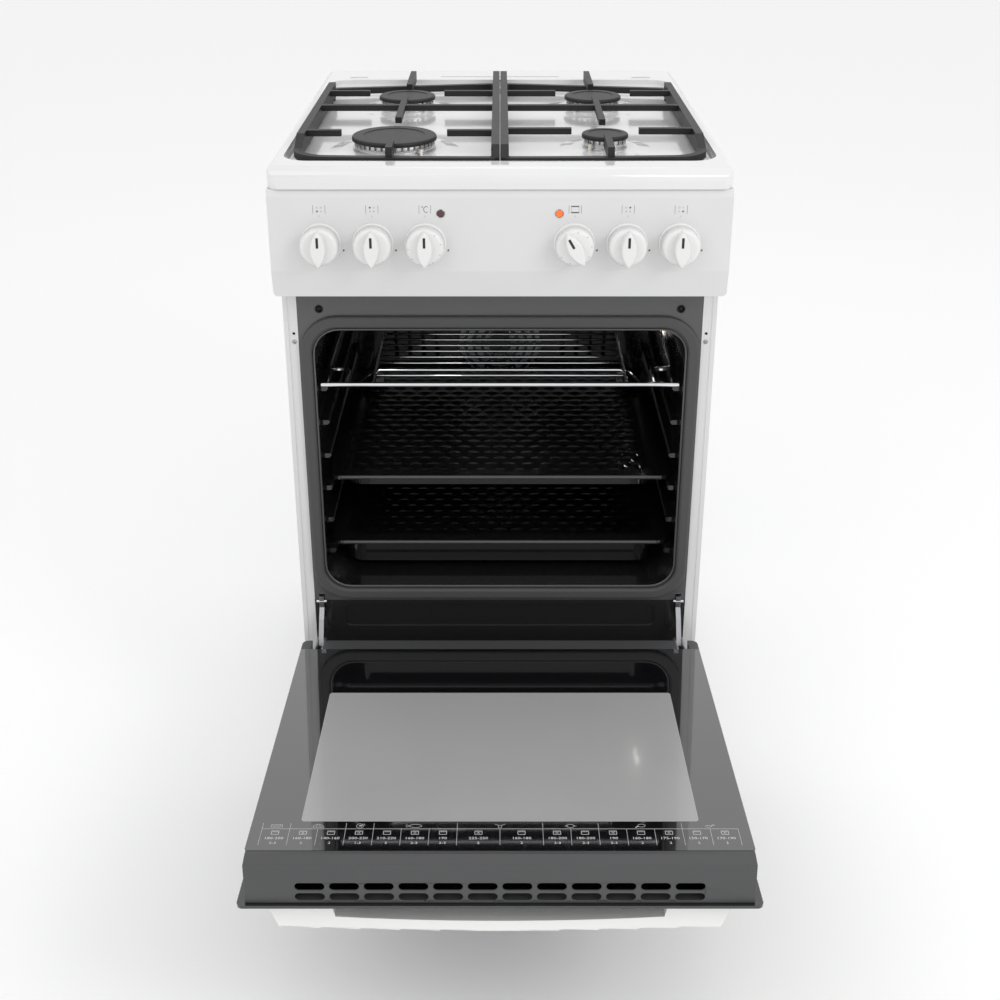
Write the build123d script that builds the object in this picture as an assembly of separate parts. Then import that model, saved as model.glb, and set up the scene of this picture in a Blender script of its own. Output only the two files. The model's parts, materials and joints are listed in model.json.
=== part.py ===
"""Freestanding gas range: gas hob with four burners over a fan oven with a drop-down door.

Origin: centre of the footprint at floor level. +X right, +Y to the wall, +Z up. Millimetres.
The door is modelled open, resting on its stop.
"""
import os
from math import cos, pi, radians, sin

from build123d import *

# ---- Overall sizes -------------------------------------------------------------------------
WIDTH = 500.0
DEPTH = 600.0
HEIGHT = 850.0            # floor to hob rim

# ---- Sheet, play and gaps ------------------------------------------------------------------
SHEET = 1.0               # casing sheet
ENAMEL = 1.2              # hob, oven and tray sheet
FIT = 0.3                 # between fixed neighbours
GAP = 0.4                 # between pieces that move past each other
PIN_PLAY = 0.06           # radial play of a shaft in its bore

# ---- Casing --------------------------------------------------------------------------------
HOB_H = 23.0              # hob lip
FASCIA_H = 122.0          # control panel
FASCIA_R = 5.0            # its lower corners
FOOT_H = 34.0
FOOT_INSET = 33.0
FRONT_SETBACK = 46.0      # control panel face to oven front plate
BACK_SETBACK = 20.0       # hob rear edge to back panel
BODY_INSET = 2.0          # hob overhang at each side
STILE_W = 16.0            # turned-in front edge of a side panel
FLANGE_W = 12.0           # turned-in rear edge of a side panel
TRAY_LIP = 16.0

# ---- Drawer and hinge ----------------------------------------------------------------------
DRAWER_Z0 = 45.0
DRAWER_H = 158.0
DRAWER_FRONT_T = 18.0
DRAWER_BOX_H = 116.0
DRAWER_BOX_D = 470.0
DRAWER_SIDE_GAP = 36.0    # drawer box side to casing side, room for a runner
OPEN_DOOR_GAP = 6.0       # open door to the drawer front
HINGE_DEPTH = 25.0        # hinge pin in front of the oven front plate
PIN_R = 4.0
ARM_T = 6.0
ARM_INSET = 25.0          # hinge arm centre to casing side

# ---- Door ----------------------------------------------------------------------------------
DOOR_T = 50.0
DOOR_OPEN = 85.25         # degrees from closed to the stop
DOOR_SEAL_GAP = 6.0       # door inner face to oven front plate
DOOR_SIDE = 8.0           # inner frame to hob side
DOOR_TOP_GAP = 17.0       # inner frame to control panel
GLASS_T = 4.0
RAIL_W = 27.0
RAIL_WALL = 2.0
BOTTOM_RAIL_H = 21.0
PROFILE_H = 17.0
GLASS_LIP = 4.0           # outer glass beyond the top profile
VENT_W, VENT_H = 28.0, 8.1
VENT_PITCH = 32.6
VENT_ROWS = (27.7, 39.2)  # from the inner face
HANDLE_BASE = 456.0
HANDLE_FACE = 423.0
HANDLE_DEPTH = 42.0
HANDLE_H = 19.0
HANDLE_GRIP = 328.0
HANDLE_BAR = 14.0
HANDLE_DROP = 18.0        # top of the glass to the handle

# ---- Oven ----------------------------------------------------------------------------------
CAVITY_SIDE = 34.0        # cavity wall to hob side
CAVITY_FLOOR_RISE = 70.0  # cavity floor above the hinge pin
CAVITY_ROOF_DROP = 53.0   # cavity roof below the control panel
CAVITY_REAR = 125.0       # cavity rear wall to hob rear edge
CAVITY_R = 31.0
GASKET_W = 14.0
LEDGES = 6
FIRST_LEDGE = 44.0        # above the cavity floor
LAST_LEDGE = 79.0         # below the cavity roof
LEDGE_W, LEDGE_H = 12.0, 6.0
FAN_COVER_D = 26.0
FAN_COVER_HALF = 185.0
GRILLE_R = 60.0
ELEMENT_R = 3.2
INSERT_PLAY = 5.0         # insert to cavity wall
WIRE_R = 3.0              # shelf front bar
FRAME_WIRE_R = 2.7
LONG_WIRE_R = 2.4
CROSS_R = 1.8
WIRE_PITCH = 20.0
BAKE_DEPTH = 20.0
ROAST_DEPTH = 38.0

# ---- Controls ------------------------------------------------------------------------------
KNOB_EDGE = 55.8          # outer knob to fascia end
KNOB_PITCH = 56.8
KNOB_DROP = 59.0          # knob centre below the fascia top
KNOB_R = 20.5
KNOB_L = 23.0
KNOB_SKIRT = 13.0
RIDGE_HALF_W = 8.0
BEZEL_R = 22.5
BEZEL_T = 2.5
PRESS = 4.0               # knob travel
SPINDLE_R = 4.0
FLAT = 2.8                # spindle flat, from its axis
FUNCTION_TURN = 30.0      # degrees anticlockwise
LENS_R = 3.9
TAP_R = 11.0
RAIL_R = 8.0
PIPE_R = 4.0
INLET_R = 10.45           # half-inch gas thread
INLET_L = 16.0

# ---- Hob -----------------------------------------------------------------------------------
HOB_ROLL = 16.0           # front edge
HOB_EDGE = 7.0            # side and rear edges
REAR_BOW = 7.0            # bow of the rear edge
WELL_DEPTH = 10.0
WELL_SIDE = 12.0
WELL_FRONT = 34.0
WELL_REAR = 78.0
BURNER_EDGE = 129.0       # burner centre to hob side
REAR_BURNER_Y = 70.0
PLINTH_H = 1.6            # raised ring under a burner
# name, side, y, cap radius
BURNERS = (
    ("front_left", -1, -169.0, 48.5),
    ("rear_left", -1, REAR_BURNER_Y, 36.4),
    ("rear_right", 1, REAR_BURNER_Y, 36.7),
    ("front_right", 1, -159.0, 26.8),
)
CAP_T = 5.0
CAP_DISH = 0.8            # sunk centre of a cap
CROWN_H = 8.5
SUPPORT_SIDE = 20.0       # pan support to hob side
SUPPORT_FRONT = 38.0      # pan support to hob front
SUPPORT_TOP = 13.0        # above the hob rim
SUPPORT_GAP = 1.2         # between the two supports
BAR_W = 9.0
BAR_H = 7.0               # raised bars and fingers
FRAME_H = 8.0             # low frame
BAR_CORNER = 42.0         # outer front corner of a pan support
BAR_BOW = 8.0             # bow of the front bars
FINGER_W = 7.5
FINGER_GAP = 12.0         # finger tip to cap, across
FINGER_CLEAR = 3.0        # finger tip to cap, front to back
CROSSBAR_Y = -24.0

# ---- Derived planes ------------------------------------------------------------------------
FRONT = -DEPTH / 2
REAR = DEPTH / 2
HALF = WIDTH / 2
HOB_Z = HEIGHT - HOB_H
FASCIA_TOP = HOB_Z - FIT
FASCIA_Z = HOB_Z - FASCIA_H
PLATE_Y = FRONT + FRONT_SETBACK
BACK_Y = REAR - BACK_SETBACK
BODY_HALF = HALF - BODY_INSET
PLATE_HALF = BODY_HALF - STILE_W - FIT
HINGE_RISE = DOOR_T + DOOR_SEAL_GAP - HINGE_DEPTH + OPEN_DOOR_GAP
PIN_Z = DRAWER_Z0 + DRAWER_H + HINGE_RISE
PIN_Y = PLATE_Y - HINGE_DEPTH
ARM_X = BODY_HALF - ARM_INSET
DOOR_IN = PLATE_Y - DOOR_SEAL_GAP
DOOR_OUT = DOOR_IN - DOOR_T
DOOR_Z0 = PIN_Z + 24.0
DOOR_Z1 = FASCIA_Z - DOOR_TOP_GAP
DOOR_HALF = HALF - DOOR_SIDE
CAVITY_HALF = HALF - CAVITY_SIDE
CAVITY_Z0 = PIN_Z + CAVITY_FLOOR_RISE
CAVITY_Z1 = FASCIA_Z - CAVITY_ROOF_DROP
CAVITY_BACK = REAR - CAVITY_REAR
LEDGE_PITCH = (CAVITY_Z1 - CAVITY_Z0 - FIRST_LEDGE - LAST_LEDGE) / (LEDGES - 1)
LINER_FRONT = PLATE_Y + SHEET
COVER_Y = CAVITY_BACK - FAN_COVER_D
FAN_Z = (CAVITY_Z0 + CAVITY_Z1) / 2 - 2.0
INSERT_HALF = CAVITY_HALF - INSERT_PLAY
KNOB_Z = FASCIA_TOP - KNOB_DROP
KNOB_X = [HALF - KNOB_EDGE - i * KNOB_PITCH for i in range(3)]
KNOB_PLACES = [-KNOB_X[0], -KNOB_X[1], -KNOB_X[2], KNOB_X[2], KNOB_X[1], KNOB_X[0]]
GAS_KNOBS = (1, 2, 5, 6)
KNOB_BACK = FRONT - BEZEL_T - PRESS - GAP
KNOB_TIP = KNOB_BACK - KNOB_L
TAP_FRONT = FRONT + 10.0
RAIL_Y = TAP_FRONT + 50.0
SUPPLY_X = KNOB_X[0] + 28.0
WELL_Z = HEIGHT - WELL_DEPTH
BURNER_X = HALF - BURNER_EDGE
SUPPORT_Z = HEIGHT + SUPPORT_TOP
CROWN_Z = WELL_Z + PLINTH_H + 2.0
CAP_Z = CROWN_Z + CROWN_H + GAP


# ---- Shape helpers -------------------------------------------------------------------------
def block(x0, x1, y0, y1, z0, z1):
    """A box between two corners."""
    centre = Pos((x0 + x1) / 2, (y0 + y1) / 2, (z0 + z1) / 2)
    return centre * Box(abs(x1 - x0), abs(y1 - y0), abs(z1 - z0))


def rod_x(x0, x1, y, z, r):
    return Pos((x0 + x1) / 2, y, z) * Rot(0, 90, 0) * Cylinder(r, abs(x1 - x0))


def rod_y(x, y0, y1, z, r):
    return Pos(x, (y0 + y1) / 2, z) * Rot(90, 0, 0) * Cylinder(r, abs(y1 - y0))


def rod_z(x, y, z0, z1, r):
    return Pos(x, y, (z0 + z1) / 2) * Cylinder(r, abs(z1 - z0))


def slab_y(half, z0, z1, y0, y1, r):
    """An upright slab across the width, centred on X, with rounded corners."""
    face = Plane.XZ * Pos(0, (z0 + z1) / 2) * RectangleRounded(2 * half, z1 - z0, r)
    return Pos(0, y1, 0) * extrude(face, y1 - y0)


def slab_z(half, y0, y1, z0, z1, r):
    """A level slab, centred on X, with rounded corners."""
    face = Pos(0, (y0 + y1) / 2) * RectangleRounded(2 * half, y1 - y0, r)
    return Pos(0, 0, z0) * extrude(face, z1 - z0)


def prism_x(points, x0, x1):
    """An outline in (Y, Z), drawn along X."""
    outline = Plane.YZ * make_face(Polyline(*points, close=True))
    return Pos(x0, 0, 0) * extrude(outline, x1 - x0)


def pipe(points, radius, bend):
    """A solid round bar along straight runs with rounded bends."""
    path = FilletPolyline(*points, radius=bend)
    start = Plane(origin=path @ 0, z_dir=path % 0)
    return sweep(start * Circle(radius), path=path)


def mirrored(solid):
    """The solid and its twin on the other side."""
    return [solid, mirror(solid, about=Plane.YZ)]


def fuse(first, *others):
    body = first
    for other in others:
        body = body + other
    return body


def shaft(x, z, y0, y1, flat_end):
    """A round spindle with a flat towards its front end."""
    bar = rod_y(x, y0, y1, z, SPINDLE_R)
    return bar - block(x + FLAT, x + 2 * SPINDLE_R, y0 - 1, flat_end, z - 9, z + 9)


# ---- Casing --------------------------------------------------------------------------------
def side_panel():
    """Right side panel: skin, stile at the front, flange at the rear."""
    z0, z1 = FOOT_H, HOB_Z - FIT
    skin = block(BODY_HALF - SHEET, BODY_HALF, PLATE_Y, BACK_Y + SHEET, z0, z1)
    stile = block(BODY_HALF - STILE_W, BODY_HALF, PLATE_Y, PLATE_Y + SHEET, z0, z1)
    flange = block(BODY_HALF - FLANGE_W, BODY_HALF, BACK_Y, BACK_Y + SHEET, z0, z1)
    groove_x = BODY_HALF - 6.5
    groove = block(groove_x, groove_x + 1.2, PLATE_Y - 1, PLATE_Y + 0.4, z0 - 1, z1 + 1)
    blank_hole = rod_y(BODY_HALF - 11, PLATE_Y - 1, PLATE_Y + 2, CAVITY_Z1 - 6, 1.6)
    return fuse(skin, stile, flange) - groove - blank_hole


def back_panel():
    y0 = BACK_Y + SHEET
    z0, z1 = FOOT_H, HOB_Z - FIT
    panel = block(-BODY_HALF + 2, BODY_HALF - 2, y0, y0 + SHEET, z0, z1)
    slots = [block(x - 40, x + 40, y0 - 1, y0 + 3, z, z + 4)
             for x in (-110, 0, 110) for z in (FASCIA_Z, FASCIA_Z + 14, FASCIA_Z + 28)]
    panel = panel - slots
    panel = panel - rod_y(SUPPLY_X, y0 - 1, y0 + 3, KNOB_Z, INLET_R + FIT)
    return panel - rod_y(-SUPPLY_X + 20, y0 - 1, y0 + 3, KNOB_Z, 8.0)


def foot_places():
    x = BODY_HALF - FOOT_INSET
    return [(sx * x, y) for sx in (-1, 1) for y in (PLATE_Y + FOOT_INSET, BACK_Y - FOOT_INSET)]


def base_tray():
    half = BODY_HALF - SHEET - FIT
    y0, y1 = PLATE_Y + SHEET + FIT, BACK_Y - FIT
    outer = block(-half, half, y0, y1, FOOT_H, FOOT_H + TRAY_LIP)
    inner = block(-half + SHEET, half - SHEET, y0 + SHEET, y1 - SHEET,
                  FOOT_H + SHEET, FOOT_H + TRAY_LIP + 1)
    holes = [rod_z(x, y, FOOT_H - 1, FOOT_H + 3, 5.2) for x, y in foot_places()]
    return outer - inner - holes


def levelling_feet():
    feet = []
    for x, y in foot_places():
        pad = fillet(rod_z(x, y, 0, 10, 20).edges().group_by(Axis.Z)[-1], 3)
        feet.append(fuse(pad, rod_z(x, y, 10, FOOT_H, 8), rod_z(x, y, FOOT_H, FOOT_H + 14, 5)))
    return feet


def hinge_slots():
    cuts = []
    for side in (-1, 1):
        x = side * ARM_X
        reach = ARM_T / 2 + GAP
        cuts.append(block(x - reach, x + reach, PLATE_Y - 5, PLATE_Y + 9, PIN_Z + 23.5, PIN_Z + 59))
    return cuts


def front_plate():
    z0, z1 = PIN_Z + 50.0, FASCIA_Z + 14
    plate = block(-PLATE_HALF, PLATE_HALF, PLATE_Y, PLATE_Y + SHEET, z0, z1)
    mouth = slab_y(CAVITY_HALF, CAVITY_Z0, CAVITY_Z1, PLATE_Y - 1, PLATE_Y + 3, CAVITY_R)
    screws = [rod_y(s * (PLATE_HALF - 25), PLATE_Y - 1, PLATE_Y + 3, FASCIA_Z - 29, 3.6)
              for s in (-1, 1)]
    return plate - mouth - screws - hinge_slots()


def lower_apron():
    z0, z1 = DRAWER_Z0 + DRAWER_H + 3, PIN_Z + 50.0 - FIT
    dish_half = PLATE_HALF - 37.5
    dish0, dish1 = PIN_Z + 12, PIN_Z + 44
    plate = block(-PLATE_HALF, PLATE_HALF, PLATE_Y, PLATE_Y + SHEET, z0, z1)
    back = slab_y(dish_half + SHEET, dish0 - SHEET, dish1 + SHEET, PLATE_Y, PLATE_Y + 3, 9)
    dish = slab_y(dish_half, dish0, dish1, PLATE_Y - 1, PLATE_Y + 2, 8)
    return plate + back - dish - hinge_slots()


# ---- Oven ----------------------------------------------------------------------------------
def ledge_top(index):
    return CAVITY_Z0 + FIRST_LEDGE + index * LEDGE_PITCH


LAMP_Y = 40.0
LAMP_Z = CAVITY_Z1 - 52.0
LAMP_R = 17.0
TERMINAL_X = 28.0
GRILL_Z = CAVITY_Z1 - 12.0
LOWER_Z = CAVITY_Z0 - 11.0


def oven_liner():
    """Enamelled box with a front flange and pressed ledges on both side walls."""
    t = ENAMEL
    outer = slab_y(CAVITY_HALF + t, CAVITY_Z0 - t, CAVITY_Z1 + t, LINER_FRONT, CAVITY_BACK + t,
                   CAVITY_R + t)
    flange = slab_y(CAVITY_HALF + 8, CAVITY_Z0 - 8, CAVITY_Z1 + 8, LINER_FRONT, LINER_FRONT + t,
                    CAVITY_R + 8)
    inner = slab_y(CAVITY_HALF, CAVITY_Z0, CAVITY_Z1, LINER_FRONT - 1, CAVITY_BACK, CAVITY_R)
    box = outer + flange - inner
    for i in range(LEDGES):
        top = ledge_top(i)
        rib = block(CAVITY_HALF - LEDGE_W, CAVITY_HALF + t / 2, LINER_FRONT + 16, COVER_Y - 12,
                    top - LEDGE_H, top)
        rib = chamfer(rib.faces().sort_by(Axis.X)[0].edges(), 2)
        box = fuse(box, *mirrored(rib))
    box = box - rod_y(0, CAVITY_BACK - 1, CAVITY_BACK + 3, FAN_Z, SPINDLE_R + 2)
    box = box - rod_x(CAVITY_HALF - 1, CAVITY_HALF + 3, LAMP_Y, LAMP_Z, LAMP_R - 4 + FIT)
    for x in (-TERMINAL_X, TERMINAL_X):
        box = box - rod_y(x, CAVITY_BACK - 1, CAVITY_BACK + 3, GRILL_Z, ELEMENT_R + FIT)
    return box


INSULATION_BACK = CAVITY_BACK + 25.0


def insulation():
    """Mineral-wool jacket round the liner, open at the front."""
    t = ENAMEL + FIT
    y0 = PLATE_Y + 22
    outer = slab_y(BODY_HALF - SHEET - 3, CAVITY_Z0 - 42, CAVITY_Z1 + 33, y0, INSULATION_BACK, 20)
    inner = slab_y(CAVITY_HALF + t, CAVITY_Z0 - 20, CAVITY_Z1 + t, y0 - 1, CAVITY_BACK + t, 12)
    jacket = outer - inner - rod_y(0, CAVITY_BACK - 1, INSULATION_BACK + 1, FAN_Z, 12)
    jacket = jacket - rod_x(CAVITY_HALF, CAVITY_HALF + 22, LAMP_Y, LAMP_Z, LAMP_R - 4 + FIT)
    for x in (-TERMINAL_X, TERMINAL_X):
        for z in (GRILL_Z, LOWER_Z):
            jacket = jacket - rod_y(x, CAVITY_BACK - 1, INSULATION_BACK + 1, z, ELEMENT_R + FIT)
    return jacket


def oven_gasket():
    y0 = DOOR_IN + GAP
    inner_half = CAVITY_HALF + 1
    z0, z1 = CAVITY_Z0 - 2, CAVITY_Z1 + 2
    ring = slab_y(inner_half + GASKET_W, z0 - GASKET_W, z1 + GASKET_W, y0, PLATE_Y,
                  CAVITY_R + GASKET_W)
    ring = ring - slab_y(inner_half, z0, z1, y0 - 1, PLATE_Y + 1, CAVITY_R)
    return fillet(ring.faces().sort_by(Axis.Y)[0].edges(), 3.5)


def fan_cover():
    """Pressed cover with a ringed intake and slots at each side."""
    z0, z1 = CAVITY_Z0 + 15, CAVITY_Z1 - 20
    outer = slab_y(FAN_COVER_HALF, z0, z1, COVER_Y, CAVITY_BACK, 25)
    inner = slab_y(FAN_COVER_HALF - ENAMEL, z0 + ENAMEL, z1 - ENAMEL, COVER_Y + ENAMEL,
                   CAVITY_BACK + 1, 24)
    cover = outer - inner
    through = (COVER_Y - 1, COVER_Y + 3)
    slots = [block(s * x - 3, s * x + 3, *through, z - 24, z + 24)
             for s in (-1, 1) for x in (92, 112, 132, 152) for z in (FAN_Z - 60, FAN_Z, FAN_Z + 60)]
    spokes = [Pos(0, COVER_Y, FAN_Z) * Rot(0, a, 0) * Box(2.2 * GRILLE_R, 8, 4) for a in (0, 60, 120)]
    for i in range(4):
        r = GRILLE_R - 12 * i
        ring = rod_y(0, *through, FAN_Z, r) - rod_y(0, *through, FAN_Z, r - 7)
        slots.extend((ring - spokes).solids())
    return cover - slots


def fan_impeller():
    hub = rod_y(0, COVER_Y + 6, COVER_Y + 21, FAN_Z, 10)
    disc = rod_y(0, COVER_Y + 19.5, COVER_Y + 21, FAN_Z, GRILLE_R + 2)
    blade = Pos(38, COVER_Y + 13.5, 0) * Box(44, 13, 1.4)
    blades = [Pos(0, 0, FAN_Z) * Rot(0, i * 45, 0) * blade for i in range(8)]
    axle = rod_y(0, COVER_Y + 15, INSULATION_BACK + 14, FAN_Z, SPINDLE_R)
    return fuse(hub, disc, *blades, axle)


def fan_motor():
    y0 = INSULATION_BACK + FIT
    plate = block(-55, 55, y0, y0 + 2, FAN_Z - 22, FAN_Z + 22)
    can = rod_y(0, y0 + 2, y0 + 44, FAN_Z, 32)
    return plate + can - rod_y(0, y0 - 1, y0 + 16, FAN_Z, SPINDLE_R + PIN_PLAY)


def lamp_lens():
    inner_x = CAVITY_HALF - 9
    dome = fillet(rod_x(inner_x, CAVITY_HALF, LAMP_Y, LAMP_Z, LAMP_R).edges().group_by(Axis.X)[0], 5)
    return dome + rod_x(CAVITY_HALF, CAVITY_HALF + 18, LAMP_Y, LAMP_Z, LAMP_R - 4)


def grill_element():
    back = CAVITY_BACK + 12
    x1, x2, y1, y2 = TERMINAL_X + 4, 95, CAVITY_BACK - 85, PLATE_Y + 64
    y3 = CAVITY_BACK - 145
    half = [(TERMINAL_X, back), (TERMINAL_X, y1), (160, y1), (160, y2), (x2, y2), (x2, y3),
            (x1, y3), (x1, y2)]
    points = [(x, y, GRILL_Z) for x, y in half]
    points += [(-x, y, z) for x, y, z in reversed(points)]
    return pipe(points, ELEMENT_R, 14)


def lower_element():
    back = CAVITY_BACK + 12
    y1, y2 = CAVITY_BACK - 55, PLATE_Y + 84
    half = [(TERMINAL_X, back), (TERMINAL_X, y1), (150, y1), (150, y2)]
    points = [(x, y, LOWER_Z) for x, y in half]
    points += [(-x, y, z) for x, y, z in reversed(points)]
    return pipe(points, ELEMENT_R, 16)


SHELF_FRONT = LINER_FRONT + 14.0
INSERT_BACK = COVER_Y - 14.0


def wire_shelf():
    """Chromed wire shelf: front bar, one bent frame wire, two long wires, even cross wires."""
    z = ledge_top(LEDGES - 1) + GAP + WIRE_R
    side = INSERT_HALF - WIRE_R
    step_y = SHELF_FRONT + 48
    half = [(side - 26, SHELF_FRONT, z), (side - 26, step_y, z), (side, step_y, z),
            (side, INSERT_BACK, z)]
    frame_path = half + [(-x, y, z) for x, y, z in reversed(half)]
    long_x = side - 58
    wires = [rod_x(-INSERT_HALF, INSERT_HALF, SHELF_FRONT, z, WIRE_R),
             pipe(frame_path, FRAME_WIRE_R, 12)]
    wires += mirrored(rod_y(long_x, SHELF_FRONT, INSERT_BACK, z, LONG_WIRE_R))
    count = int((INSERT_BACK - SHELF_FRONT - 29) // WIRE_PITCH)
    for i in range(count + 1):
        wires.append(rod_x(-long_x, long_x, SHELF_FRONT + 29 + i * WIRE_PITCH, z, CROSS_R))
    return fuse(*wires)


def tray(ledge, depth, front):
    """An enamelled tray hung by a turned-down rim on one pair of ledges."""
    rest = ledge_top(ledge) + GAP
    top = rest + 5
    half, back = INSERT_HALF, INSERT_BACK
    t = ENAMEL
    rim = slab_z(half, front, back, rest, top, 14) - slab_z(half - t, front + t, back - t,
                                                           rest - 1, top - t, 13)
    pan = slab_z(half - 17, front + 17, back - 17, top - depth, top, 24)
    hollow = slab_z(half - 17 - t, front + 17 + t, back - 17 - t, top - depth + t, top + 1, 23)
    return rim + pan - hollow


# ---- Door, built closed and turned open about its hinge pins -------------------------------
def open_door(solid):
    return solid.rotate(Axis((0, PIN_Y, PIN_Z), (1, 0, 0)), DOOR_OPEN)


FRAME_OUT = DOOR_OUT + GLASS_T


def door_outer_glass():
    pane = slab_y(HALF - 1, PIN_Z, DOOR_Z1 + GLASS_LIP, DOOR_OUT, FRAME_OUT, 6)
    return chamfer(pane.faces().sort_by(Axis.Y)[0].edges(), 0.8)


def door_inner_glass():
    z0, z1 = DOOR_Z0 + BOTTOM_RAIL_H + FIT, DOOR_Z1 - PROFILE_H - FIT
    return slab_y(DOOR_HALF, z0, z1, DOOR_IN - GLASS_T, DOOR_IN, 3)


def door_top_profile():
    """Aluminium closing profile with two rows of air slots in its end wall."""
    z0, z1, w = DOOR_Z1 - PROFILE_H, DOOR_Z1, RAIL_WALL
    outline = [(FRAME_OUT, z0), (FRAME_OUT, z1), (DOOR_IN - 3, z1), (DOOR_IN, z1 - 12), (DOOR_IN, z0)]
    hollow = [(FRAME_OUT + w, z0 - 1), (FRAME_OUT + w, z1 - w), (DOOR_IN - 3 - w, z1 - w),
              (DOOR_IN - w, z1 - 13), (DOOR_IN - w, z0 - 1)]
    half = DOOR_HALF - 1
    profile = prism_x(outline, -half, half) - prism_x(hollow, -half + w, half - w)
    count = int((2 * half - 80) // VENT_PITCH)
    slots = []
    for i in range(count):
        x = (i - (count - 1) / 2) * VENT_PITCH
        for row in VENT_ROWS:
            y = DOOR_IN - row
            slots.append(Pos(x, y, z1 - 2 * w) * extrude(SlotOverall(VENT_W, VENT_H), 2 * w + 1))
    return profile - slots


def door_side_rails():
    z0, z1 = DOOR_Z0 + BOTTOM_RAIL_H + FIT, DOOR_Z1 - PROFILE_H - FIT
    w, x1 = RAIL_WALL, DOOR_HALF - 1
    x0 = x1 - RAIL_W
    y1 = DOOR_IN - GLASS_T
    tube = block(x0, x1, FRAME_OUT, y1, z0, z1)
    return mirrored(tube - block(x0 + w, x1 - w, FRAME_OUT + w, y1 - w, z0 - 1, z1 + 1))


def door_bottom_rail():
    """Closing rail at the hinge end, notched for the hinge arms."""
    z0, z1, w = DOOR_Z0, DOOR_Z0 + BOTTOM_RAIL_H, RAIL_WALL
    rail = block(-DOOR_HALF, DOOR_HALF, FRAME_OUT, DOOR_IN, z0, z1)
    rail = fillet(rail.edges().filter_by(Axis.Y).group_by(Axis.Z)[0], 8)
    rail = rail - block(-ARM_X + 20, ARM_X - 20, FRAME_OUT + w, DOOR_IN - w, z0 + w, z1 + 1)
    notch = block(ARM_X - 7.5, ARM_X + 7.5, FRAME_OUT + 4, DOOR_IN + 1, z0 - 1, z1 + 1)
    return rail - mirrored(notch)


def door_handle():
    """Bow handle: solid end blocks joined by a slightly curved bar."""
    y0 = DOOR_OUT
    y1, bow = y0 - HANDLE_DEPTH + 5, 5
    z1 = DOOR_Z1 + GLASS_LIP - HANDLE_DROP
    base, face, grip = HANDLE_BASE / 2, HANDLE_FACE / 2, HANDLE_GRIP / 2
    outline = Line((-base, y0), (-face, y1)) + ThreePointArc((-face, y1), (0, y1 - bow), (face, y1))
    outline = outline + Polyline((face, y1), (base, y0), (-base, y0))
    bar = Pos(0, 0, z1 - HANDLE_H) * extrude(make_face(outline), HANDLE_H)
    inner = y1 + HANDLE_BAR
    opening = Line((-grip, y0 + 1), (-grip + 6, inner))
    opening = opening + ThreePointArc((-grip + 6, inner), (0, inner - bow), (grip - 6, inner))
    opening = opening + Polyline((grip - 6, inner), (grip, y0 + 1), (-grip, y0 + 1))
    bar = bar - Pos(0, 0, z1 - HANDLE_H - 1) * extrude(make_face(opening), HANDLE_H + 2)
    front_edges = bar.faces().sort_by(Axis.Y)[0].edges()
    return fillet(front_edges, 4)


def hinge_channels():
    """Cheeked channels in the door's side rails that turn on the hinge pins."""
    w = RAIL_WALL
    inner = ARM_T / 2 + GAP
    top = DOOR_Z0 + 86
    y0, y1 = FRAME_OUT + 6, DOOR_IN - 8
    cheek = block(inner, inner + w, y0, y1, PIN_Z + 22, top)
    ear = block(inner, inner + w, PIN_Y - 9, PIN_Y + 9, PIN_Z, PIN_Z + 23)
    eye = rod_x(inner, inner + w, PIN_Y, PIN_Z, 9)
    bore = rod_x(-20, 20, PIN_Y, PIN_Z, PIN_R + PIN_PLAY)
    cheeks = mirrored(fuse(cheek, ear, eye) - bore)
    web = block(-inner - w, inner + w, y0, y0 + w, PIN_Z + 22, top)
    return mirrored(Pos(ARM_X, 0, 0) * fuse(web, *cheeks))


def hinge_arms():
    """Arms that stand out of the front plate and carry the hinge pins."""
    y, z = PIN_Y, PIN_Z
    face = PLATE_Y - 5
    outline = [(y - 7, z + 3), (y + 10, z + 31), (face, z + 42), (face, z + 57),
               (PLATE_Y + 15, z + 57), (PLATE_Y + 15, z + 25), (PLATE_Y - 2, z + 25), (y + 7, z - 3)]
    plate = prism_x(outline, ARM_X - ARM_T / 2, ARM_X + ARM_T / 2)
    eye = rod_x(ARM_X - ARM_T / 2, ARM_X + ARM_T / 2, y, z, 7.5)
    pin = rod_x(ARM_X - 7, ARM_X + 7, y, z, PIN_R)
    seat = block(ARM_X - 8, ARM_X + 9, PLATE_Y + SHEET + 2, PLATE_Y + 16, z + 24, z + 57.5)
    return mirrored(fuse(plate, eye, pin, seat))


# ---- Controls ------------------------------------------------------------------------------
LENS_X = KNOB_X[2] - 16.9
LENS_Z = KNOB_Z + 33.0


def control_panel():
    """Hollow fascia: a folded steel section with closed ends."""
    z0, z1, back = FASCIA_Z, FASCIA_TOP, PLATE_Y - FIT
    w = 2.0
    facet = z0 + 31
    outline = [(back, z0), (FRONT + 6, z0), (FRONT, facet), (FRONT, z1 - 8), (FRONT + 3, z1), (back, z1)]
    hollow = [(back + 4, z0 + w), (FRONT + 6 + w, z0 + w), (FRONT + w, facet), (FRONT + w, z1 - 9),
              (FRONT + 3 + w, z1 - w), (back + 4, z1 - w)]
    shell = prism_x(outline, -HALF, HALF)
    shell = shell & slab_y(HALF, z0, z1 + 60, FRONT - 5, back + 5, FASCIA_R)
    shell = shell - prism_x(hollow, -HALF + w, HALF - w)
    for x in KNOB_PLACES:
        shell = shell - rod_y(x, FRONT - 1, FRONT + 4, KNOB_Z, SPINDLE_R + 2)
    for x in (-LENS_X, LENS_X):
        shell = shell - rod_y(x, FRONT - 1, FRONT + 4, LENS_Z, LENS_R + 0.1)
    return shell


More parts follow.
